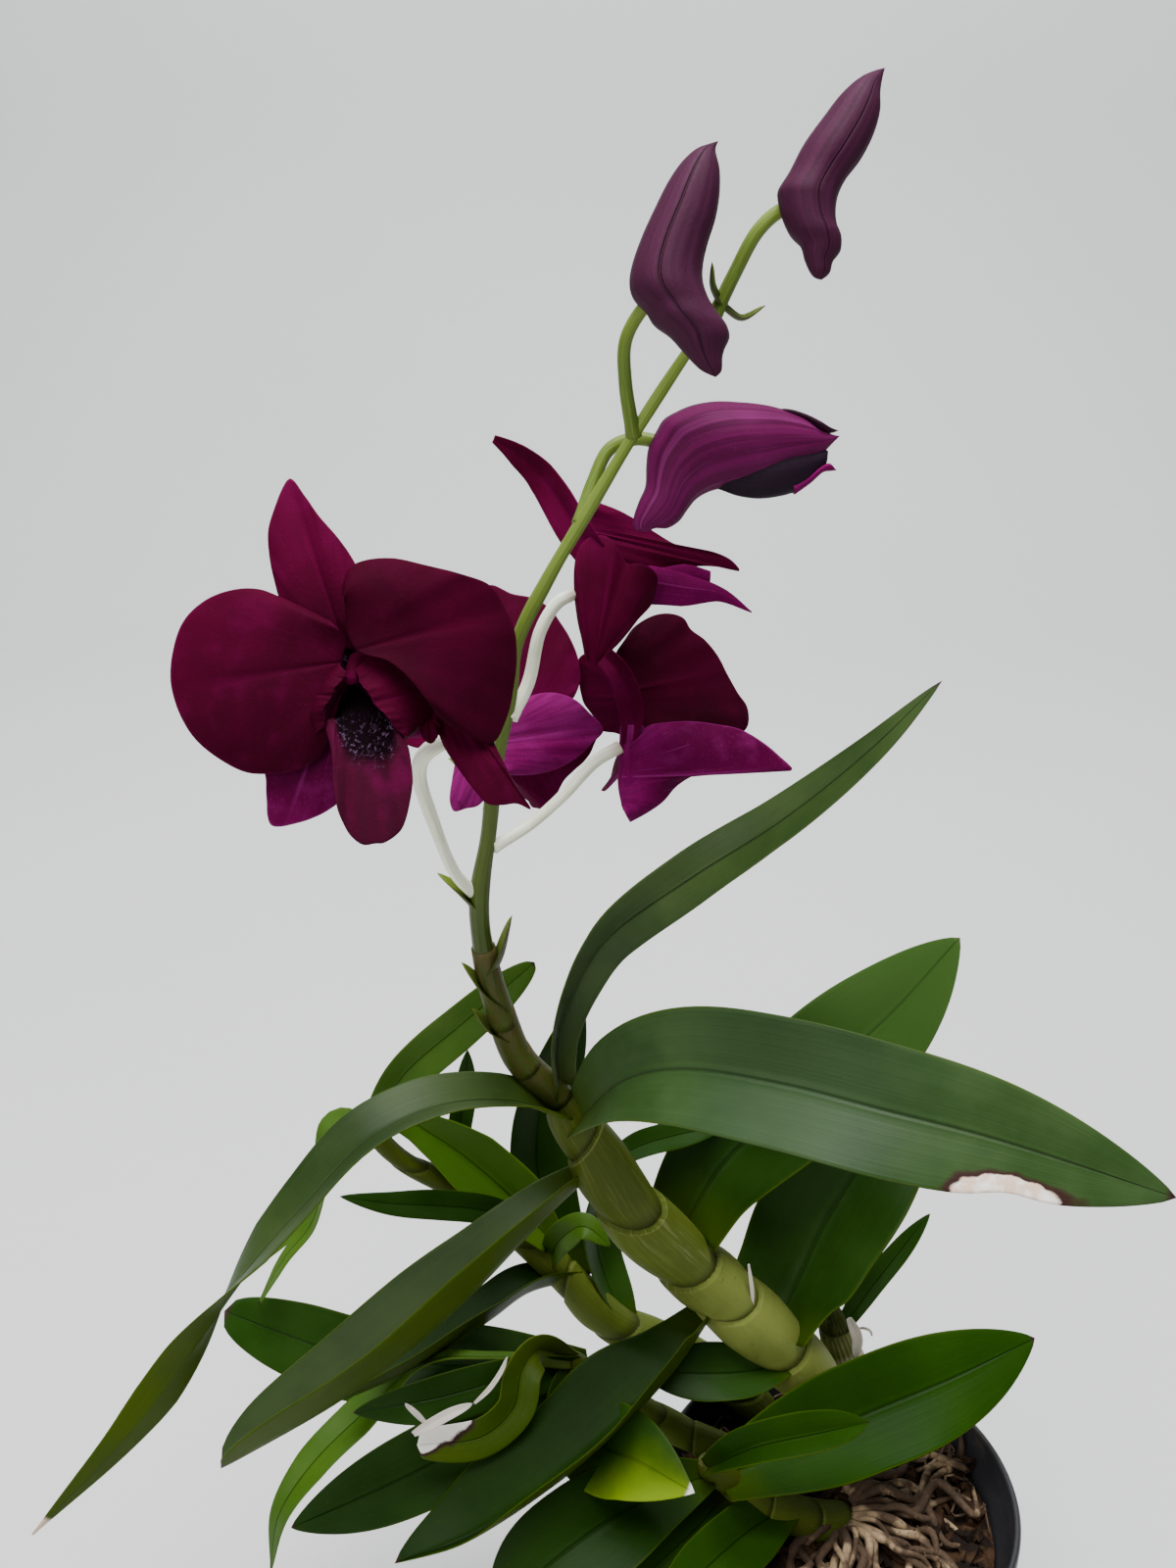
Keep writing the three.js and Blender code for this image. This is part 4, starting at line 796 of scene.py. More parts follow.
SCORCH = (1.0, 0.785, 0.42, 0.085)
MARKS = {"right_leaf_1": scorch_and_arch_shadow, "right_leaf_2": sunlit, "left_leaf_1": dry_tip, "torn_leaf": torn,
         "side_leaf_1": yellowed}
SLOTS = {"yellow_leaves": ("side_leaf_1", "torn_leaf"),
         "light_leaves": ("side_leaf_5", "rear_leaf_1", "rear_leaf_2", "rear_leaf_3", "rear_leaf_9")}
skins = {}
for number, (name, leaf) in enumerate(LEAVES.items()):
    tone = leaf.pop("tone")
    mark = MARKS.get(name)
    known = name if mark else tone
    if known not in skins:
        skins[known] = [leaf_skin(f"leaf_{known}_{side}", *LEAF_TONES[tone], side == "upper", mark)
                        for side in ("upper", "under")]
    mesh = bmesh.new()
    blade(mesh, relief=wavy(0.03 * leaf["width"], 3 + number % 3, number), rows=64, cols=32,
          trim=bitten if mark is scorch_and_arch_shadow else None, **leaf)
    bmesh.ops.recalc_face_normals(mesh, faces=mesh.faces)
    slot = next((slot for slot, names in SLOTS.items() if name in names), "leaves")
    piece(name + "_strap", mesh, skins[known], slot, name)

SLIVERS = [
    ([(-124.6, -23, 148.5), (-119.5, -23, 152.5), (-114, -22, 155.5), (-108, -21, 157.7)], 3.6),
    ([(-121, -23, 152.5), (-123.6, -23.5, 157), (-126.3, -24, 161)], 1.8),
    ([(-107.6, -20, 156.7), (-103.3, -18, 160.4), (-100, -16, 165), (-98.5, -13, 167)], 1.6),
    ([(-28.9, 13, 176.4), (-27.7, 12, 168.4), (-27, 12, 161.3)], 1.2),
    ([(7.7, 38, 131.6), (10.9, 38, 123.3), (10.9, 38, 115)], 4),
    ([(11, 42, 122.3), (13.4, 42, 123.5), (16, 42, 122.3), (17, 42, 119.7)], 1)]


def dry_tissue():
    finish = Finish("dry_tissue", {"Roughness": 0.8, "Specular IOR Level": 0.2})
    across, along = finish.surface()
    strands = finish.stretched(across, along * 0.2, 8, 4)
    colour = finish.mix(strands.fade(0.4, 0.7), DRY_WHITE, DRY_TAN)
    return finish.feed(Base_Color=colour, Normal=finish.bump(strands, 0.0003))


mesh = bmesh.new()
for points, width in SLIVERS:
    blade(mesh, points, [(0.1, -0.9, 0.4)], width, fold=[0.3], curl=[0.2], thick=0.4, rows=24, cols=16,
          foot=0.5, point=0.6)
bmesh.ops.recalc_face_normals(mesh, faces=mesh.faces)
piece("dry_slivers", mesh, [dry_tissue(), dry_tissue()], "yellow_leaves")

# ---- Flowers ------------------------------------------------------------------------------------
# Velvety petals and sepals of a deep wine red, brighter behind, with a paler line down the middle.
# Two lower sepals join in a chin under the stalk; the lip is one petal rolled into a dark throat
# with a tongue before it. Petals that lie in shade wear a darker copy of the wine, painted shade.
# Each is drawn about its centre, then tipped back.
TIP = Matrix.Rotation(math.radians(90 - 24), 4, "X")
WINE, WINE_DARK, WINE_BRIGHT = (0.06, 0, 0.015), (0.03, 0, 0.007), (0.11, 0, 0.042)
# The darkest colour of the petals painted as lying in shade.
WINE_SHADOW_DEEP = (0.014, 0, 0.0035)
MAGENTA, MAGENTA_DARK, MAGENTA_PALE = (0.13, 0, 0.062), (0.065, 0, 0.027), (0.26, 0.015, 0.17)
LIP_BLACK, LIP_HAIR, LIP_TONGUE = (0.003, 0.0001, 0.0015), (0.1, 0.05, 0.11), (0.035, 0.002, 0.012)
SEPAL = dict(fold=[0.3, 0.1], curl=[0.2], foot=0.5, widest=0.4, swell=1.3, point=0.9)
WING = dict(fold=[0.1, 0], curl=[0.2, 0.1], foot=0.25, widest=0.6, swell=1.8, point=0.5, crowd=1.5)
LIP = dict(fold=[1.1, 0.9, 0.3, 0.1], curl=[0.3, 0.2], shape=[0.5, 0.95, 0.95, 0.6, 0.66, 0.66, 0.55, 0.2])
# Materials, front then back. The pairs with material 3 put a darker copy of the wine on petals that lie in shade:
# painted shade.
SIDES = {"sepal": (0, 1), "petal": (0, 2), "dusky": (2, 2), "shaded": (3, 2), "shaded_behind": (0, 3), "throat": (0, 1), "lobe": (1, 0)}
FLOWERS = {
    "flower_1": dict(
        centre=(-118, -44, 378), chin=[(0, 4, -5), (0, -3, -6), (3, -7, -9), (9, -9, -7)],
        column=[(-4, 5, -2), (-5, 2, 1), (-5.5, 1, 3)],
        lip_sheets=[
            ([(-7.7, 12.2, -4), (-5.7, 12.2, -4)],
             [(-13.3, 10.7, -5), (-14.3, 2.2, -5), (-13.3, -7.8, -5), (-8.1, -13, -4), (1, -13, -3),
              (6.5, -8, -4), (7.5, 0.1, -4), (1.9, 10.2, -4)], (0, 0, 1), 0.5, "throat"),
            ([(-8, -7, -2), (-7.6, -2.9, -3), (-6, -0.3, -3), (-3.4, -1.6, -2), (-0.7, -4.9, 0)],
             [(-10.9, -7.7, 2), (-10, -10.1, 3.5), (-9, -13.5, 5), (-8.4, -19.3, 6), (-7.5, -24.7, 6.5),
              (-6.4, -27.6, 6.5), (-5.1, -30, 6), (-2.7, -31.9, 5.5), (-0.1, -31.7, 5.5),
              (1.4, -31.7, 5.5), (3.9, -30.2, 5.5), (5.4, -28.6, 6), (6.6, -24.7, 6.5), (7.3, -19.3, 6),
              (6.9, -15, 5.5), (6.2, -12.1, 5), (3.9, -9, 4)], (0, 0.2, 1), 2.5, "throat"),
            ([(-0.5, 7.8, 0), (3.4, 4.8, 0), (7.3, 0.9, -1), (10.7, -3.2, -2), (10.7, -6.2, -2),
             (8, -8.8, 0), (5.6, -11.3, 3)],
             [(-4.6, 2.8, 3), (-3.6, 1.5, 4.5), (-2.9, -0.1, 5.5), (-1.1, -2.5, 6.5), (1.6, -6, 7),
              (3.6, -8.1, 7), (5.5, -10.6, 5.5)], (0.5, 0.3, 0.8), 1.2, "lobe"),
            ([(-5.6, 0.1, -3), (-6.4, -2.3, -3), (-7.2, -4.3, -3), (-7.8, -7, -2), (-8.4, -9, 0)],
             [(-5.9, 2.5, 2), (-6.9, 1.2, 3.5), (-8.1, -0.8, 4.5), (-9.5, -3.4, 5), (-10.6, -6.1, 4.5),
              (-10.4, -8.6, 3.5)], (0.4, 0, 1), -1, "throat"),
            ([(-7.9, 4.6, 0), (-10.6, 1.9, 0), (-13, -2.1, 0), (-14.2, -6.1, 0), (-13, -10, 0)],
             [(-5.9, 2.5, 2), (-6.9, 1.2, 3.5), (-8.1, -0.8, 4.5), (-9.5, -3.4, 5), (-10.6, -6.1, 4.5),
              (-10.4, -8.6, 3.5)], (-0.4, 0, 1), 1, "lobe"),
        ],
        sheets=[
            ([(8.4, -7, 0), (11.1, -6.6, 0)],
             [(8.3, -8.5, 1), (8.7, -10.6, 1), (10.3, -11.8, 1), (11.8, -10.4, 1), (12.3, -8, 0)],
             (0, 0, 1), 0.5, "petal"),
            ([(-10.4, 6.5, -3), (-7.6, 7.7, -3), (-4.4, 6.5, -3)],
             [(-16.7, 10.1, -3), (-20.3, 16.1, -3), (-22.7, 24.5, -3), (-23.3, 31.3, -3.5),
              (-22, 36.8, -4), (-19.3, 42.9, -5), (-15.9, 39, -4), (-12.8, 34.7, -3.5), (-8.8, 30.1, -3),
              (-5.6, 25.3, -3), (-1.2, 15.1, -3)], (0, 0, 1), 1, "sepal"),
            ([(-6.3, 9.4, 0), (-7.5, 4.8, 0), (-7.1, -0.1, 0)],
             [(-9.8, 12.9, 0), (-15.5, 15.8, -0.5), (-20.3, 18, -1), (-24.8, 19.7, -1.5),
              (-29.5, 19.7, -2), (-36, 17.4, -2.5), (-41, 12, -2.5), (-43, 2.4, -2), (-42.2, -2.6, -2),
              (-38.5, -9.8, -1.5), (-33, -14.7, -1.5), (-27.6, -17.5, -1.5), (-22.9, -17.9, -1),
              (-17.5, -17.3, -1), (-12.6, -14.3, -1), (-10.1, -10.4, -0.5), (-8.4, -5.1, 0)], (0, 0, 1),
              2, "petal"),
            ([(-6.6, 15.7, 3), (-6.1, 10.4, 3.5), (-3.7, 6.4, 5), (-1.2, 5.5, 6), (2, 4.8, 7),
             (4.8, 3.2, 7.5)],
             [(-7.2, 18.1, 3), (-6.8, 20.8, 3), (-5.6, 23.4, 3), (-3.2, 24.7, 3), (2.8, 25.3, 3),
              (9, 24, 2.5), (16, 22.4, 1.5), (22.2, 20.4, -1), (24.8, 16.6, -2.5), (26.8, 12.1, -3.5),
              (27.4, 7.6, -4), (27, 1.3, -4), (25.6, -6.1, -3), (22.7, -11.6, -1), (18, -10.3, 2),
              (14.6, -8.4, 3.5), (12.2, -6.3, 5)], (0.2, 0, 1), 2.5, "shaded"),
            # Painted light: this lateral sepal's front wears the brighter magenta of the sepal backs, though it lies
            # in the shade of the petals.
            ([(-13.7, 0.1, -4), (-10.1, -0.9, -4), (-5.7, -2.9, -4)],
             [(-26, -11.9, -5), (-24.4, -17.9, -5), (-24, -23.3, -5), (-23.1, -28.4, -5.5),
              (-17.5, -27.9, -5), (-11.9, -25.7, -5), (-8.3, -22.9, -5), (-3.9, -17.9, -5)], (0, 0, 1),
              1, "lobe"),
            ([(5.5, 2.2, -4), (9.9, 1.1, -4), (15.8, 0.2, -5)],
             [(8.4, -4.9, -3), (11.5, -7.6, -2), (12.6, -12, -1), (14.9, -15.6, 0), (17.3, -18.9, 0),
              (19.7, -21.9, 0.5), (21.7, -23.9, 0.5), (24.6, -24.2, 0.5), (27.6, -23.9, 0),
              (30.5, -25.1, -1), (27.5, -20.5, -1), (25.1, -15.9, -1.5), (22.8, -11.3, -2.5),
              (20.9, -5.9, -4)], (0, 0, 1), 1, "sepal"),
        ]),
    "flower_2": dict(
        centre=(-101, 20, 341), chin=[(0, 2, 0), (-2, -6, 1), (-5, -13, 2), (-7, -17, 2)],
        column=[(0, 0, 0), (1, 1, -4), (2, 1, -8)],
        lip=[(1, -6, -4), (3, -8, -8), (7, -12, -13), (14, -19, -16)], lip_faces=[(0, 1, -0.4), (0.2, 0.8, -0.5)], lip_width=20,
        tepals=[
            ([(-1, 3, -2), (-5, 13, -5), (-9, 23, -8), (-12, 30, -12)], [(-0.2, 0, -1)], 14, SEPAL, "sepal"),
            ([(-2, 2, -2), (-10, 6, -7), (-18, 9, -13), (-25, 11, -19)], [(-0.5, 0, -1)], 24, WING, "petal")],
        sheets=[
            ([(1.3, 7.2, -4), (6.3, 5.7, -4), (12.5, 4, -4)],
             [(-5.8, 25.7, -9), (-3.9, 35.9, -10), (-0.4, 39.2, -10), (5.5, 36.9, -10), (10.5, 35.9, -10),
              (14.9, 33.3, -9), (18.2, 29, -9), (20.7, 24.8, -8), (22.5, 19.7, -7), (23, 14.6, -6),
              (22, 10.8, -5), (19.5, 7.2, -4)], (0.2, 0, -1), -1.5, "petal"),
            ([(0.3, 3.8, 0), (-0.7, -2.4, 0), (0.3, -8.6, 0)],
             [(3.8, 3.7, 1), (7.3, 8.2, 1), (12.4, 10.4, 1), (16.9, 10.6, 1), (21.8, 8.9, 1), (25, 6, 1),
              (28.9, 1.3, 0), (26.2, -1.9, 1), (22.5, -5.4, 1), (19.6, -7.3, 1), (15.2, -9.1, 1),
              (10.2, -10, 1), (5.6, -10, 1), (2.1, -9.1, 1)], (0, 0, -1), -2, "sepal"),
            ([(3.7, -4.7, -6), (9.9, -2.2, -8), (18.7, 0.4, -10)],
             [(4.9, -9.7, -7), (7.3, -12.8, -9), (11.8, -15.3, -11), (15.3, -17.1, -13),
              (18.6, -11.7, -13), (25, -5.1, -12), (28.1, 1, -11)], (0.3, 0, -1), -1, "petal"),
            ([(-4.5, 1.3, 1), (-0.8, -1.2, 2), (3.4, -6.1, 2)],
             [(-8, -4.9, 1), (-9.1, -11, 2), (-9.6, -16.7, 2), (-8.6, -19.1, 2), (-5.4, -18.4, 2),
              (-2.5, -17.7, 2), (1.2, -13.5, 2), (4.1, -9.8, 2)], (0, 0, -1), -2, "sepal"),
        ]),
    "flower_3": dict(
        centre=(-76, 8, 383), chin=[(0, 8, -4), (2, -1, -3), (3, -9, -1), (2, -15, 0)],
        column=[(0, 0, -2), (5, 1, -4), (9, 1, -6)],
        lip=[(3, 0, -4), (8, 1, -9), (12, 1, -14), (15, 0, -19)], lip_faces=[(-0.1, 1, -0.2)], lip_width=12,
        tepals=[
            ([(2, 8, -3), (-2.8, 15, -4), (-7, 22, -6), (-12, 29, -8), (-18, 34, -9), (-22.5, 37, -10)],
             [(0.5, 0.3, -0.8)], 10.5, dict(SEPAL, fold=[-0.5, -0.3], shape=[0.9, 1, 0.95, 0.85, 0.6, 0.2]),
             "dusky"),
            ([(1, 10, -6), (-5, 16, -8), (-11, 26, -11), (-16, 32, -12), (-20, 35, -12)],
             [(0.9, 0.2, -0.5)], 9, dict(SEPAL, shape=[0.9, 1, 0.8, 0.5, 0.1]), "dusky"),
            ([(5, 3, -2), (15, 1.7, -3), (23, 0.6, -5), (31.4, -0.5, -7), (39.1, -4.7, -9)],
             [(0, -0.3, -1)], 11, dict(SEPAL, shape=[0.8, 1, 0.82, 0.36, 0.03]), "sepal"),
            ([(12, 1, -6), (18.6, 2.4, -7), (24, 3.4, -8), (29.2, 3.4, -9)], [(0, 0.3, -1)], 7,
             dict(SEPAL, shape=[0.9, 1, 0.95, 0.5]), "sepal")],
        sheets=[
            ([(0, 9, -3), (-0.5, 13, -3), (0, 18.5, -4)],
             [(4.6, -0.4, -6), (11.6, 1.6, -7), (18.7, 4, -8), (22.8, 6, -10), (30, 6.7, -12),
              (34.9, 6.1, -14), (37, 6, -15), (34.9, 8.4, -14), (30, 10.3, -12), (21.8, 11.4, -10),
              (15.6, 14.5, -8), (10, 17.7, -6), (6.9, 19.1, -5), (2.8, 20.5, -4)], (0, 0.2, -1), -1.5, "petal"),
            ([(0.2, -17.5, 1), (1.1, -18.5, 2), (2.5, -17.5, 1)],
             [(-0.9, -15.6, 0), (-1.4, -12.7, 1), (-2.5, -7.7, 1), (-3.2, -1.8, 1), (-3.3, 3.7, 1),
              (-2.7, 7.7, 0), (-1.1, 10.8, -1), (1.8, 12.4, -1), (4.6, 11.8, 0), (7, 8.6, 1.5),
              (9.3, 5.5, 1), (11.3, 5.4, 2), (14.1, 4.6, 2), (16.1, 2.5, 1), (16, -0.1, 0), (14.8, -4, 0),
              (12.1, -6.9, 0), (9.1, -10.8, 0), (6.2, -14, 0), (3.6, -16, 0)], (0, 0, -1), -2.5, "petal"),
        ]),
    "flower_4": dict(
        centre=(-65, 18, 341), chin=[(0, 3, -1), (0, -6, 0), (-1, -13, 1), (-1, -18, 1)],
        column=[(0, 0, -2), (2, 1, -6), (4, 2, -10)],
        lip=[(1, -3, -5), (4, -4, -10), (7, -5, -15), (11, -8, -20)], lip_faces=[(-0.1, 1, -0.3)], lip_width=17,
        tepals=[
            ([(-7.5, 21.5, -2), (-3.7, 17, 0), (-1, 11, 1), (0, 5, 1), (-1, -1.5, 2)], [(0.1, 0.1, -1)], 8,
             dict(SEPAL, fold=[-0.3], curl=[-0.4], shape=[0.7, 0.85, 0.95, 0.85, 0.45]), "dusky"),
            ([(-1, -6, -3), (-2, -8, -10), (-4, -9, -17), (-5, -10, -24)], [(-0.8, 0.3, -0.2)], 13, SEPAL, "sepal")],
        sheets=[
            ([(-4, 21.4, -5), (-1, 13.5, -5), (1.4, 3, -5)],
             [(-2, 24.7, -5), (0.7, 28.5, -6), (5.8, 31.7, -8), (9.9, 32.3, -9), (13.7, 31.2, -10),
              (15.6, 28.5, -11), (19.4, 25.8, -12), (22.8, 21.6, -13), (25.4, 16.5, -13),
              (27.9, 12.2, -13), (30.2, 8.9, -13), (30.7, 5.5, -12), (30, 3, -11), (27.2, 1.1, -9),
              (20.8, 1.6, -7), (11.5, 2, -6)], (0.2, 0.2, -1), -2, "shaded_behind"),
            ([(-1.1, 15.9, -4), (-0.6, 10.4, -4), (-0.6, 4.7, -4)],
             [(-5.5, 22.7, -8), (-11, 22.4, -10), (-13.5, 20.8, -12), (-13.3, 16.5, -13),
              (-12.8, 12.2, -13), (-11.8, 8.9, -13), (-9.2, 5.3, -12), (-7.7, 2.5, -11), (-4.2, 1.6, -8),
              (-1.5, 0.5, -5)], (-0.4, 0, -1), -1, "petal"),
            ([(-1, -2.6, 2), (-2.2, -7.8, 3), (-3.2, -12.7, 3), (-2.7, -16.8, 2)],
             [(0.8, 0.3, 0), (4.3, 3.3, -1), (8.8, 4.1, -2), (15, 4.4, -3), (21.3, 3.7, -4),
              (27.6, 2.5, -5), (33.4, -0.7, -6), (37.8, -4.2, -7), (41.5, -7.9, -8), (36.6, -7.9, -7),
              (31.4, -7.7, -6), (25, -7, -4), (20.7, -7.5, -3), (14.9, -9.7, -2), (11.2, -12.2, -1),
              (7.9, -15.9, 0), (3.7, -18.8, 1), (-0.5, -21, 1)], (0, 0.1, -1), -2.5, "sepal"),
        ]),
}


def sheet(mesh, inner, outer, facing, swell, sides, thick=0.7, rows=88, cols=44):
    """A petal in millimetres drawn between its foot line and its margin; swell lifts its middle
    along facing, the side of its first material. The map runs from -1 to 1 round, 0 to 1 outwards."""
    foot, rim, facing = route(inner), route(outer), Vector(facing).normalized()

    def lay(u, v):
        out = (1 - math.cos(2 * math.pi * u)) / 2
        depth = math.copysign(abs(math.sin(2 * math.pi * u)) ** 0.45, 0.5 - u) * thick / 2
        groove = math.exp(-((v - 0.5) / 0.02) ** 2) * min(1, 2 - 2 * out)
        ripple = 0.35 * math.sin(v * 19 + swell) * out ** 2 + 0.12 * math.sin(v * 61) * out ** 4
        lift = swell * math.sin(math.pi * out ** 0.9) - 0.25 * groove + ripple + depth
        return foot(v)[0].lerp(rim(v)[0], out) + facing * lift * MM
    made = net(mesh, cols, rows, lay, lambda u, v: sides[0] if u < 0.5 else sides[1])
    chart = mesh.loops.layers.uv["UVMap"]
    for loop in (loop for face in made for loop in face.loops):
        loop[chart].uv = 2 * loop[chart].uv.y - 1, (1 - math.cos(2 * math.pi * loop[chart].uv.x)) / 2


def petal_skin(name, deep, body, bright, veined):
    finish = Finish(name, {"Specular IOR Level": 0.03})
    across, along = finish.surface()
    aside = abs(across)
    veins = finish.stretched(across, along * 0.08, 15, 4)
    patch, mottle, fine = finish.grain(26, 3), finish.grain(170, 4), finish.grain(1500, 2)
    rib = (1 - aside.fade(0.01, 0.05)) * (1 - along.fade(0.5, 1.0))
    margin = (aside.fade(0.965, 1.0) + along.fade(0.972, 1.0)) * 0.3
    colour = finish.mix(patch.fade(0.32, 0.58), deep, body)
    colour = finish.mix(patch.fade(0.5, 0.75) * 0.6 + mottle.fade(0.5, 0.75) * 0.2, colour, bright)
    colour = finish.mix(veins.fade(0.45, 0.6) * veined, colour, deep)
    colour = finish.mix(veins.fade(0.6, 0.7) * veined, colour, bright)
    colour = finish.mix(rib * veined, colour, bright)
    colour = finish.mix(fine.fade(0.55, 0.8) * 0.2 + margin, colour, bright)
    return finish.feed(Base_Color=colour, Roughness=0.62 + fine * 0.25,
                       Normal=finish.bump(veins * veined + mottle * 0.3 + fine * 0.3, 0.0003))


def lip_skin():
    finish = Finish("lip_velvet", {"Roughness": 0.8, "Specular IOR Level": 0.05})
    across, along = finish.surface()
    veins = finish.stretched(across, along * 0.1, 9, 4)
    hair, patch = finish.grain(1100, 2, rough=0.8), finish.grain(120, 3)
    disc = 1 - (along - across * 0.2 + patch * 0.2).fade(0.5, 0.7)
    colour = finish.mix(veins.fade(0.4, 0.65) * 0.35, LIP_TONGUE, WINE)
    colour = finish.mix(patch.fade(0.45, 0.7) * 0.4, colour, WINE_BRIGHT)
    colour = finish.mix(disc, colour, LIP_BLACK)
    colour = finish.mix(hair.fade(0.55, 0.66) * disc * along.fade(0.1, 0.4) * 0.7, colour, LIP_HAIR)
    return finish.feed(Base_Color=colour, Normal=finish.bump(hair * (0.3 + disc) + veins * 0.3, 0.0004))


def keels(a, t):
    """Raised lines down the middle of a lip, and its crimped margin."""
    ridge = sum(math.exp(-((a - at) / 0.05) ** 2) for at in (-0.16, 0, 0.16))
    return 0.9 * ridge * math.sin(math.pi * min(t / 0.7, 1)) + 0.5 * a ** 4 * math.sin(t * 40) * t


front = petal_skin("petal_front", WINE_DARK, WINE, WINE_BRIGHT, 0.12)
back = petal_skin("sepal_back", MAGENTA_DARK, MAGENTA, MAGENTA_PALE, 0.4)
petal_back = petal_skin("petal_back", WINE_DARK, WINE, WINE_BRIGHT, 0.25)
# Painted shade: a darker copy of the front for petals that lie in shade.
shaded = petal_skin("petal_shaded", WINE_SHADOW_DEEP, WINE_DARK, WINE, 0.12)
lip_finish = lip_skin()
for number, (name, flower) in enumerate(FLOWERS.items()):
    def posed(spots, by=Vector(flower["centre"])):
        return [tuple(TIP @ Vector(spot) + by) for spot in spots]

    def aimed(directions):
        return [tuple(TIP @ Vector(direction)) for direction in directions]

    mesh = bmesh.new()
    for inner, outer, facing, swell, kind in flower["sheets"]:
        sheet(mesh, posed(inner), posed(outer), aimed([facing])[0], swell, SIDES[kind])
    for count, (points, faces, width, form, kind) in enumerate(flower.get("tepals", ())):
        blade(mesh, posed(points), aimed(faces), width, thick=0.7, rows=60, cols=40,
              sides=SIDES[kind],
              relief=wavy(0.02 * width, 3, count * 2 + number), **form)
    chin_up, column_up = aimed([(1, 0.1, 0.2), (1, 0.3, 0.1)])
    stem(mesh, posed(flower["chin"]), lambda turn, v: spread([3, 3.6, 3, 1.3], v) * (
        1 + 0.03 * math.cos(turn * 3)), 36, 30, up=chin_up, material=1)
    stem(mesh, posed(flower["column"]), lambda turn, v: spread([2.6, 2.2, 1.2], v) * (
        1 + 0.05 * math.cos(turn * 2)), 28, 16, up=column_up)
    bmesh.ops.recalc_face_normals(mesh, faces=mesh.faces)
    piece(name + "_tepals", mesh, [front, back, petal_back, shaded], "petals", name)
    mesh = bmesh.new()
    for inner, outer, facing, swell, kind in flower.get("lip_sheets", ()):
        sheet(mesh, posed(inner), posed(outer), aimed([facing])[0], swell, SIDES[kind])
    if "lip" in flower:
        blade(mesh, posed(flower["lip"]), aimed(flower["lip_faces"]), flower["lip_width"], thick=0.7, rows=70,
              cols=56, relief=keels, **LIP)
    bmesh.ops.recalc_face_normals(mesh, faces=mesh.faces)
    piece(name + "_velvet_lip", mesh, [lip_finish, petal_back], "lips", name + "_lip")

# ---- Buds ---------------------------------------------------------------------------------------
# Boot-shaped buds of dusky mauve sepals, seamed along, closed in a beak above and in a blunt knob
# below. The oldest is parting at the tip and shows its petals between its brighter sepals; the
# petals and a strip along its upper edge are painted dark as shade.
BUD_DUSK, BUD_DARK, BUD_FLUSH = (0.042, 0.007, 0.025), (0.022, 0.003, 0.012), (0.075, 0.008, 0.045)
BUD_PETAL_SHADOW = (0.012, 0.004, 0.012)
BUDS = {
    "half_open_bud": dict(
        centre=(-43, 8, 415), deep=0.8, seams=0.0,
        left=[(-19.8, -18.5), (-22.5, -17.9), (-22.9, -15.9), (-21.7, -11.9), (-20.2, -8.4), (-20, -4),
         (-19.5, 0.1), (-17.6, 4.1), (-16.1, 6.5), (-13.3, 8.2), (-10, 9.6), (-5.1, 10.5), (0.6, 10.4),
         (6.5, 9.8), (10.9, 8.7), (15.3, 7), (18.8, 4.6), (21.8, 3.3), (23.4, 3)],
        right=[(-19.8, -18.5), (-17.6, -17.5), (-15.2, -17.6), (-12.6, -16.1), (-10.7, -13.5),
         (-8.9, -11.3), (-6, -9.5), (-2.3, -8.4), (2.8, -7.3), (8, -5.8), (12.4, -4), (16.8, -2.1),
         (20.1, -0.3), (21.8, 1.4), (23.4, 3)]),
    "bud_lower": dict(
        centre=(-56, -4, 455), deep=0.9, seams=0.285,
        left=[(6.2, -23), (3.1, -21.4), (-0.2, -18), (-3.2, -14.6), (-6.6, -12), (-8.3, -9.3),
         (-10.3, -7.3), (-11.3, -5.5), (-11.5, -3.2), (-10.9, 0.1), (-8.9, 5.8), (-6.3, 11.5),
         (-3.6, 16.9), (-0.9, 20.9), (2.1, 23.7), (4.9, 24.9), (6.8, 25.5)],
        right=[(6.2, -23), (7.4, -21.8), (7.6, -19), (8, -17.4), (9, -15), (8.5, -12.6), (6.5, -9.9),
         (4.5, -6.5), (3.5, -3.2), (3.6, 0.1), (4.5, 4.1), (6.2, 9.6), (7, 14.8), (7, 19.6), (6.2, 23.9),
         (6.8, 25.5)]),
    "bud_upper": dict(
        centre=(-24, 9, 472), deep=0.9, seams=0.2,
        left=[(-3.3, -22.2), (-5, -21.4), (-6.7, -18.3), (-7.7, -14.9), (-9.7, -12.8), (-11.4, -9.4),
         (-12.3, -6), (-12.5, -4), (-10.1, 0.1), (-7, 6), (-2.9, 11.7), (0.8, 16.5), (4.6, 19.9),
         (7.9, 21.5), (10, 22.1)],
        right=[(-3.3, -22.2), (-1.6, -20.8), (-0.9, -18.4), (0.6, -16.3), (0.8, -13.2), (-0.1, -10.8),
         (-0.4, -8.1), (0.1, -4.7), (1.8, -1.2), (4.9, 2.9), (7.6, 8.3), (8.9, 13.1), (9, 17.2),
         (9.6, 20.7), (10, 22.1)]),
}
PARTED = [
    ([(-3.4, -2.5), (8.7, 0.8), (20.3, -0.1)],
     [(-7.5, -8), (-3.8, -8.9), (0.6, -10.4), (5, -11), (9.3, -10.6), (13.3, -9.5), (16.1, -7.6),
      (18.3, -5.4), (20.3, -3.4), (20.8, -0.5)], 0.7, 1),
    ([(4.3, 7.9), (10.9, 8.9), (15.3, 7.8), (19, 6), (21.2, 4.8), (23.2, 4.2)],
     [(4.3, 7), (10.9, 7), (15.3, 5.8), (18.8, 4), (21.4, 3.7), (23.2, 4.2)], 3, 3),
    ([(12.2, -8), (15.9, -6.2), (19.2, -3.8), (21, -3.2), (22.7, -4.7)],
     [(13.5, -10), (16.8, -7.6), (19.9, -5), (21.4, -4.8), (22.7, -4.7)], 2, 2),
]


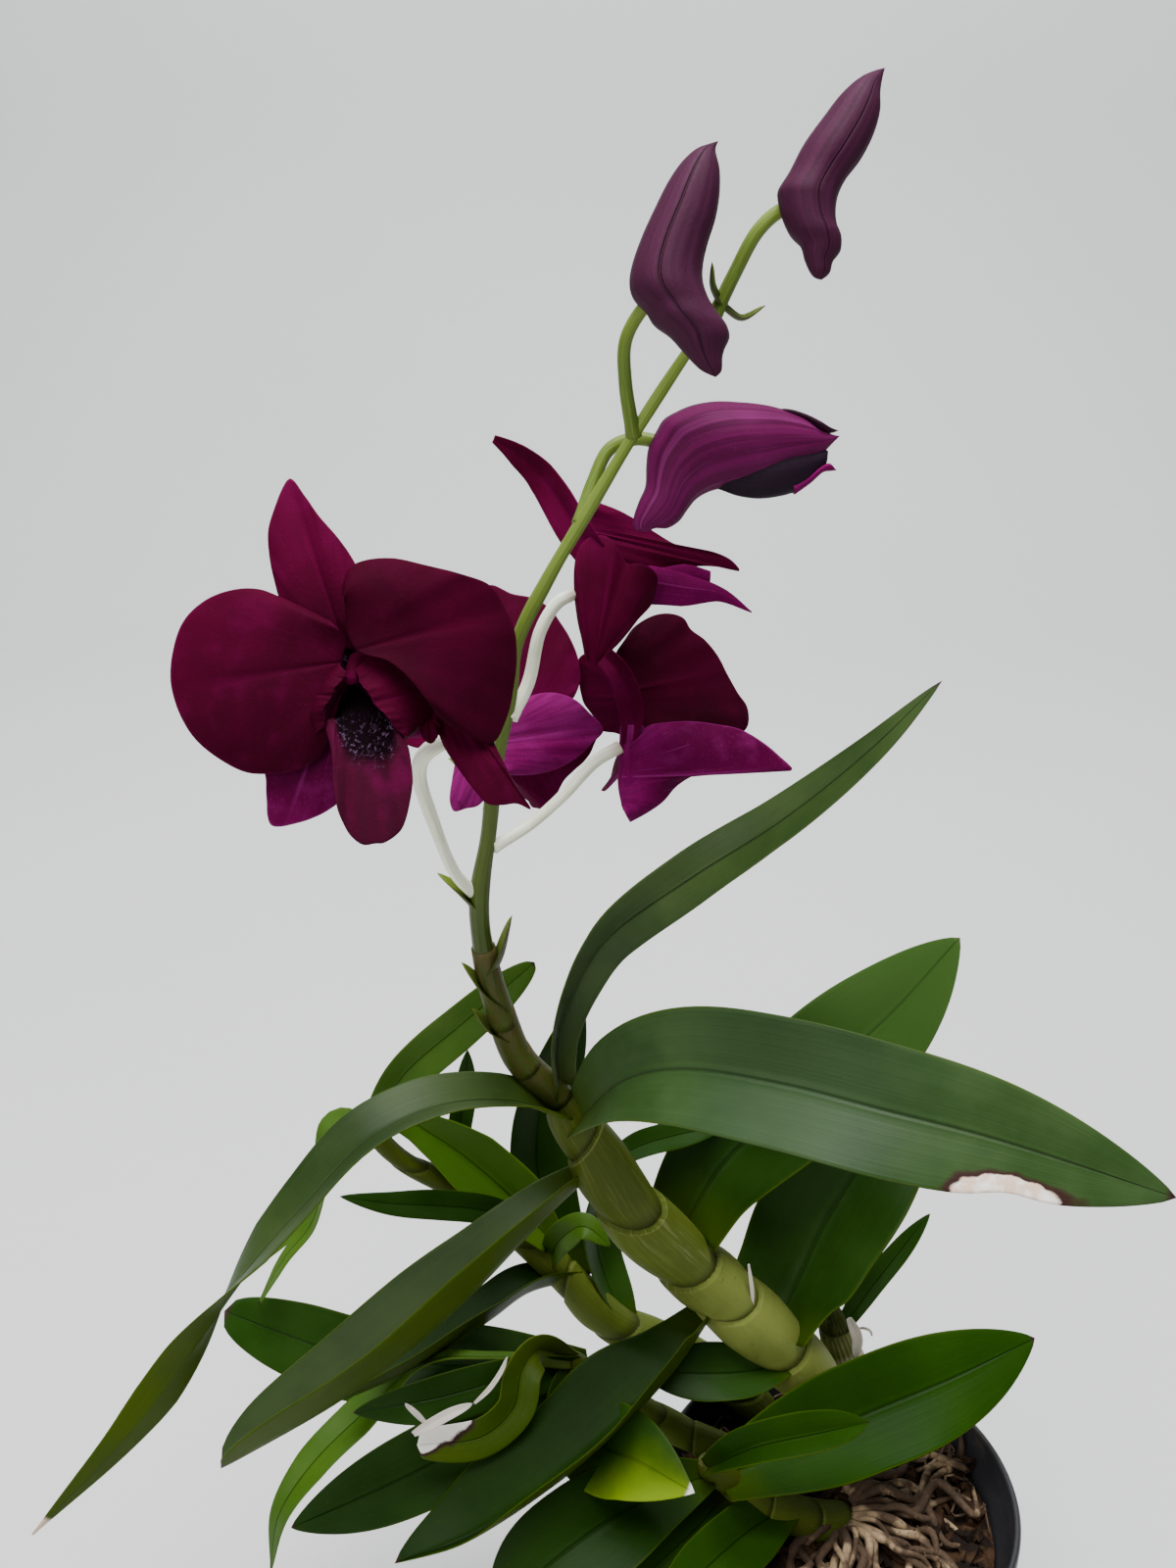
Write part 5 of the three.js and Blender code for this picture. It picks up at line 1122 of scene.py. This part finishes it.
def bud_skin(name, dark, body, flush, seams, streaks):
    finish = Finish(name, {"Specular IOR Level": 0.1})
    turn, along = finish.surface()
    stripes = finish.wrapped(turn, along * 0.15, 3.5, 4)
    patch, fine = finish.grain(70, 4), finish.grain(1200, 2)
    seam = abs(((turn + seams) * 3).maths("FRACT") - 0.5)
    seam = (1 - seam.fade(0.008, 0.028)) * (seams > 0)
    colour = finish.mix(stripes.fade(0.42, 0.6) * streaks, body, dark)
    colour = finish.mix(stripes.fade(0.56, 0.68) * streaks + patch.fade(0.5, 0.8) * 0.3, colour, flush)
    colour = finish.mix(fine.fade(0.6, 0.75) * 0.25, colour, flush)
    colour = finish.mix(seam * 0.5, colour, dark)
    return finish.feed(Base_Color=colour, Roughness=0.5 + fine * 0.25,
                       Normal=finish.bump(stripes * streaks + fine * 0.15 - seam, 0.0004))


def loft(mesh, left, right, deep, relief=None, material=0, cols=72, rows=90):
    """A closed body in millimetres between two outlines; deep is its depth as a share of its width."""
    left, right, toward = route(left), route(right), TIP @ Vector((0, 0, 1))

    def shape(u, v):
        near, far, turn = left(v)[0], right(v)[0], 2 * math.pi * (u % 1)
        half = (far - near) / 2
        out = half * -math.cos(turn) + toward * half.length * deep * math.sin(turn)
        return (near + far) / 2 + out * (relief(turn, v) if relief else 1)
    net(mesh, cols, rows, shape, lambda u, v: material)


# Painted shade: the petals inside the parting bud and a strip along its upper edge wear darker copies of the bud
# colours.
bud_petal_in_shadow = bud_skin("bud_petal_in_shadow", (0.005, 0.002, 0.006), BUD_PETAL_SHADOW, (0.02, 0.01, 0.02), 0, 0.5)
bud_shell_in_shadow = bud_skin("bud_shell_in_shadow", (0.012, 0.001, 0.009), BUD_DARK, BUD_DUSK, 0, 0.6)
for name, bud in BUDS.items():
    seams, centre = bud["seams"], Vector(bud["centre"])
    parting = name == "half_open_bud"

    def placed(outline_points):
        return [tuple(TIP @ Vector((*spot, 0)) + centre) for spot in outline_points]

    def furrowed(turn, v):
        seam = min(abs((turn / 2 / math.pi + seams) * 3 % 1 - 0.5), 0.5)
        closing = min(1, 8 * v * (1 - v))
        return 1 + (0.008 * math.sin(turn * 17) - (0.025 if seams else 0) * math.exp(-(seam / 0.03) ** 2)) * closing
    tones = ((0.05, 0, 0.024), (0.105, 0.002, 0.056), (0.16, 0.013, 0.1)) if parting else (BUD_DARK, BUD_DUSK, BUD_FLUSH)
    mesh = bmesh.new()
    loft(mesh, placed(bud["left"]), placed(bud["right"]), bud["deep"], furrowed)
    for left, right, deep, material in PARTED if parting else ():
        loft(mesh, placed(left), placed(right), deep, material=material, cols=40, rows=60)
    bmesh.ops.recalc_face_normals(mesh, faces=mesh.faces)
    skin = bud_skin(name + "_skin", *tones, seams, 0.8 if parting else 0.35)
    piece(name + "_sepals", mesh, [skin, bud_petal_in_shadow, back, bud_shell_in_shadow], "buds", name)

# ---- Camera, floor and light --------------------------------------------------------------------
# A pale floor that curves up into a wall, a wide soft light overhead, a weaker one from the front
# left, a third aimed at the wall, and a camera a little above the leaves that looks down at the plant.
FLOOR_HALF, WALL_AT, COVE = 3.0, 1.6, 0.5


def paper():
    finish = Finish("pale_paper", {"Roughness": 0.9})
    patch = finish.grain(3, 4)
    fine = finish.grain(160, 3)
    colour = finish.mix(patch, (0.6, 0.61, 0.61), (0.66, 0.66, 0.65))
    return finish.feed(Base_Color=colour, Normal=finish.bump(fine, 0.0002))


def sweep(u, v):
    """The floor's line: flat, then a quarter turn, then the wall."""
    x, run = (u - 0.5) * 2 * FLOOR_HALF, v * 6.5 - 3
    bend = run - (WALL_AT - COVE)
    if bend <= 0:
        return Vector((x, run, 0))
    turn = min(bend / COVE, math.pi / 2)
    rise = bend - COVE * turn
    return Vector((x, WALL_AT - COVE + COVE * math.sin(turn), COVE * (1 - math.cos(turn)) + max(rise, 0)))


ground = bmesh.new()
net(ground, 4, 130, sweep)
for face in [face for face in ground.faces if len(face.verts) > 4]:
    ground.faces.remove(face)
ground_data = bpy.data.meshes.new("backdrop")
ground.to_mesh(ground_data)
ground.free()
ground_data.materials.append(paper())
ground_data.shade_smooth()
backdrop = bpy.data.objects.new("backdrop", ground_data)
bpy.context.collection.objects.link(backdrop)

for name, spot, aim, size, power, colour in (
        ("top_light", (-0.1, -0.15, 1.7), (-0.06, 0, 0.2), 1.2, 34, (1, 0.985, 0.965)),
        ("front_light", (-1.0, -1.3, 1.0), (-0.06, 0, 0.25), 0.9, 15, (1, 0.99, 0.97)),
        ("wall_light", (0, 0.2, 2.2), (-0.1, 1.5, 0.5), 1.4, 60, (0.95, 0.98, 1))):
    light = bpy.data.lights.new(name, "AREA")
    light.shape, light.size, light.energy, light.color = "DISK", size, power, colour
    lamp = bpy.data.objects.new(name, light)
    lamp.location = spot
    lamp.rotation_euler = (Vector(aim) - Vector(spot)).to_track_quat("-Z", "Y").to_euler()
    bpy.context.collection.objects.link(lamp)

world = bpy.data.worlds.new("soft_room")
world.use_nodes = True
world.node_tree.nodes["Background"].inputs["Color"].default_value = (0.8, 0.84, 0.9, 1)
world.node_tree.nodes["Background"].inputs["Strength"].default_value = 0.2
bpy.context.scene.world = world

lens = bpy.data.cameras.new("camera")
lens.lens, lens.sensor_width, lens.clip_start = 33.75, 36, 0.01
camera = bpy.data.objects.new("camera", lens)
camera.location = (-0.076, -0.323, 0.481)
camera.rotation_euler = (math.radians(65.9), 0, 0)
bpy.context.collection.objects.link(camera)
bpy.context.scene.camera = camera
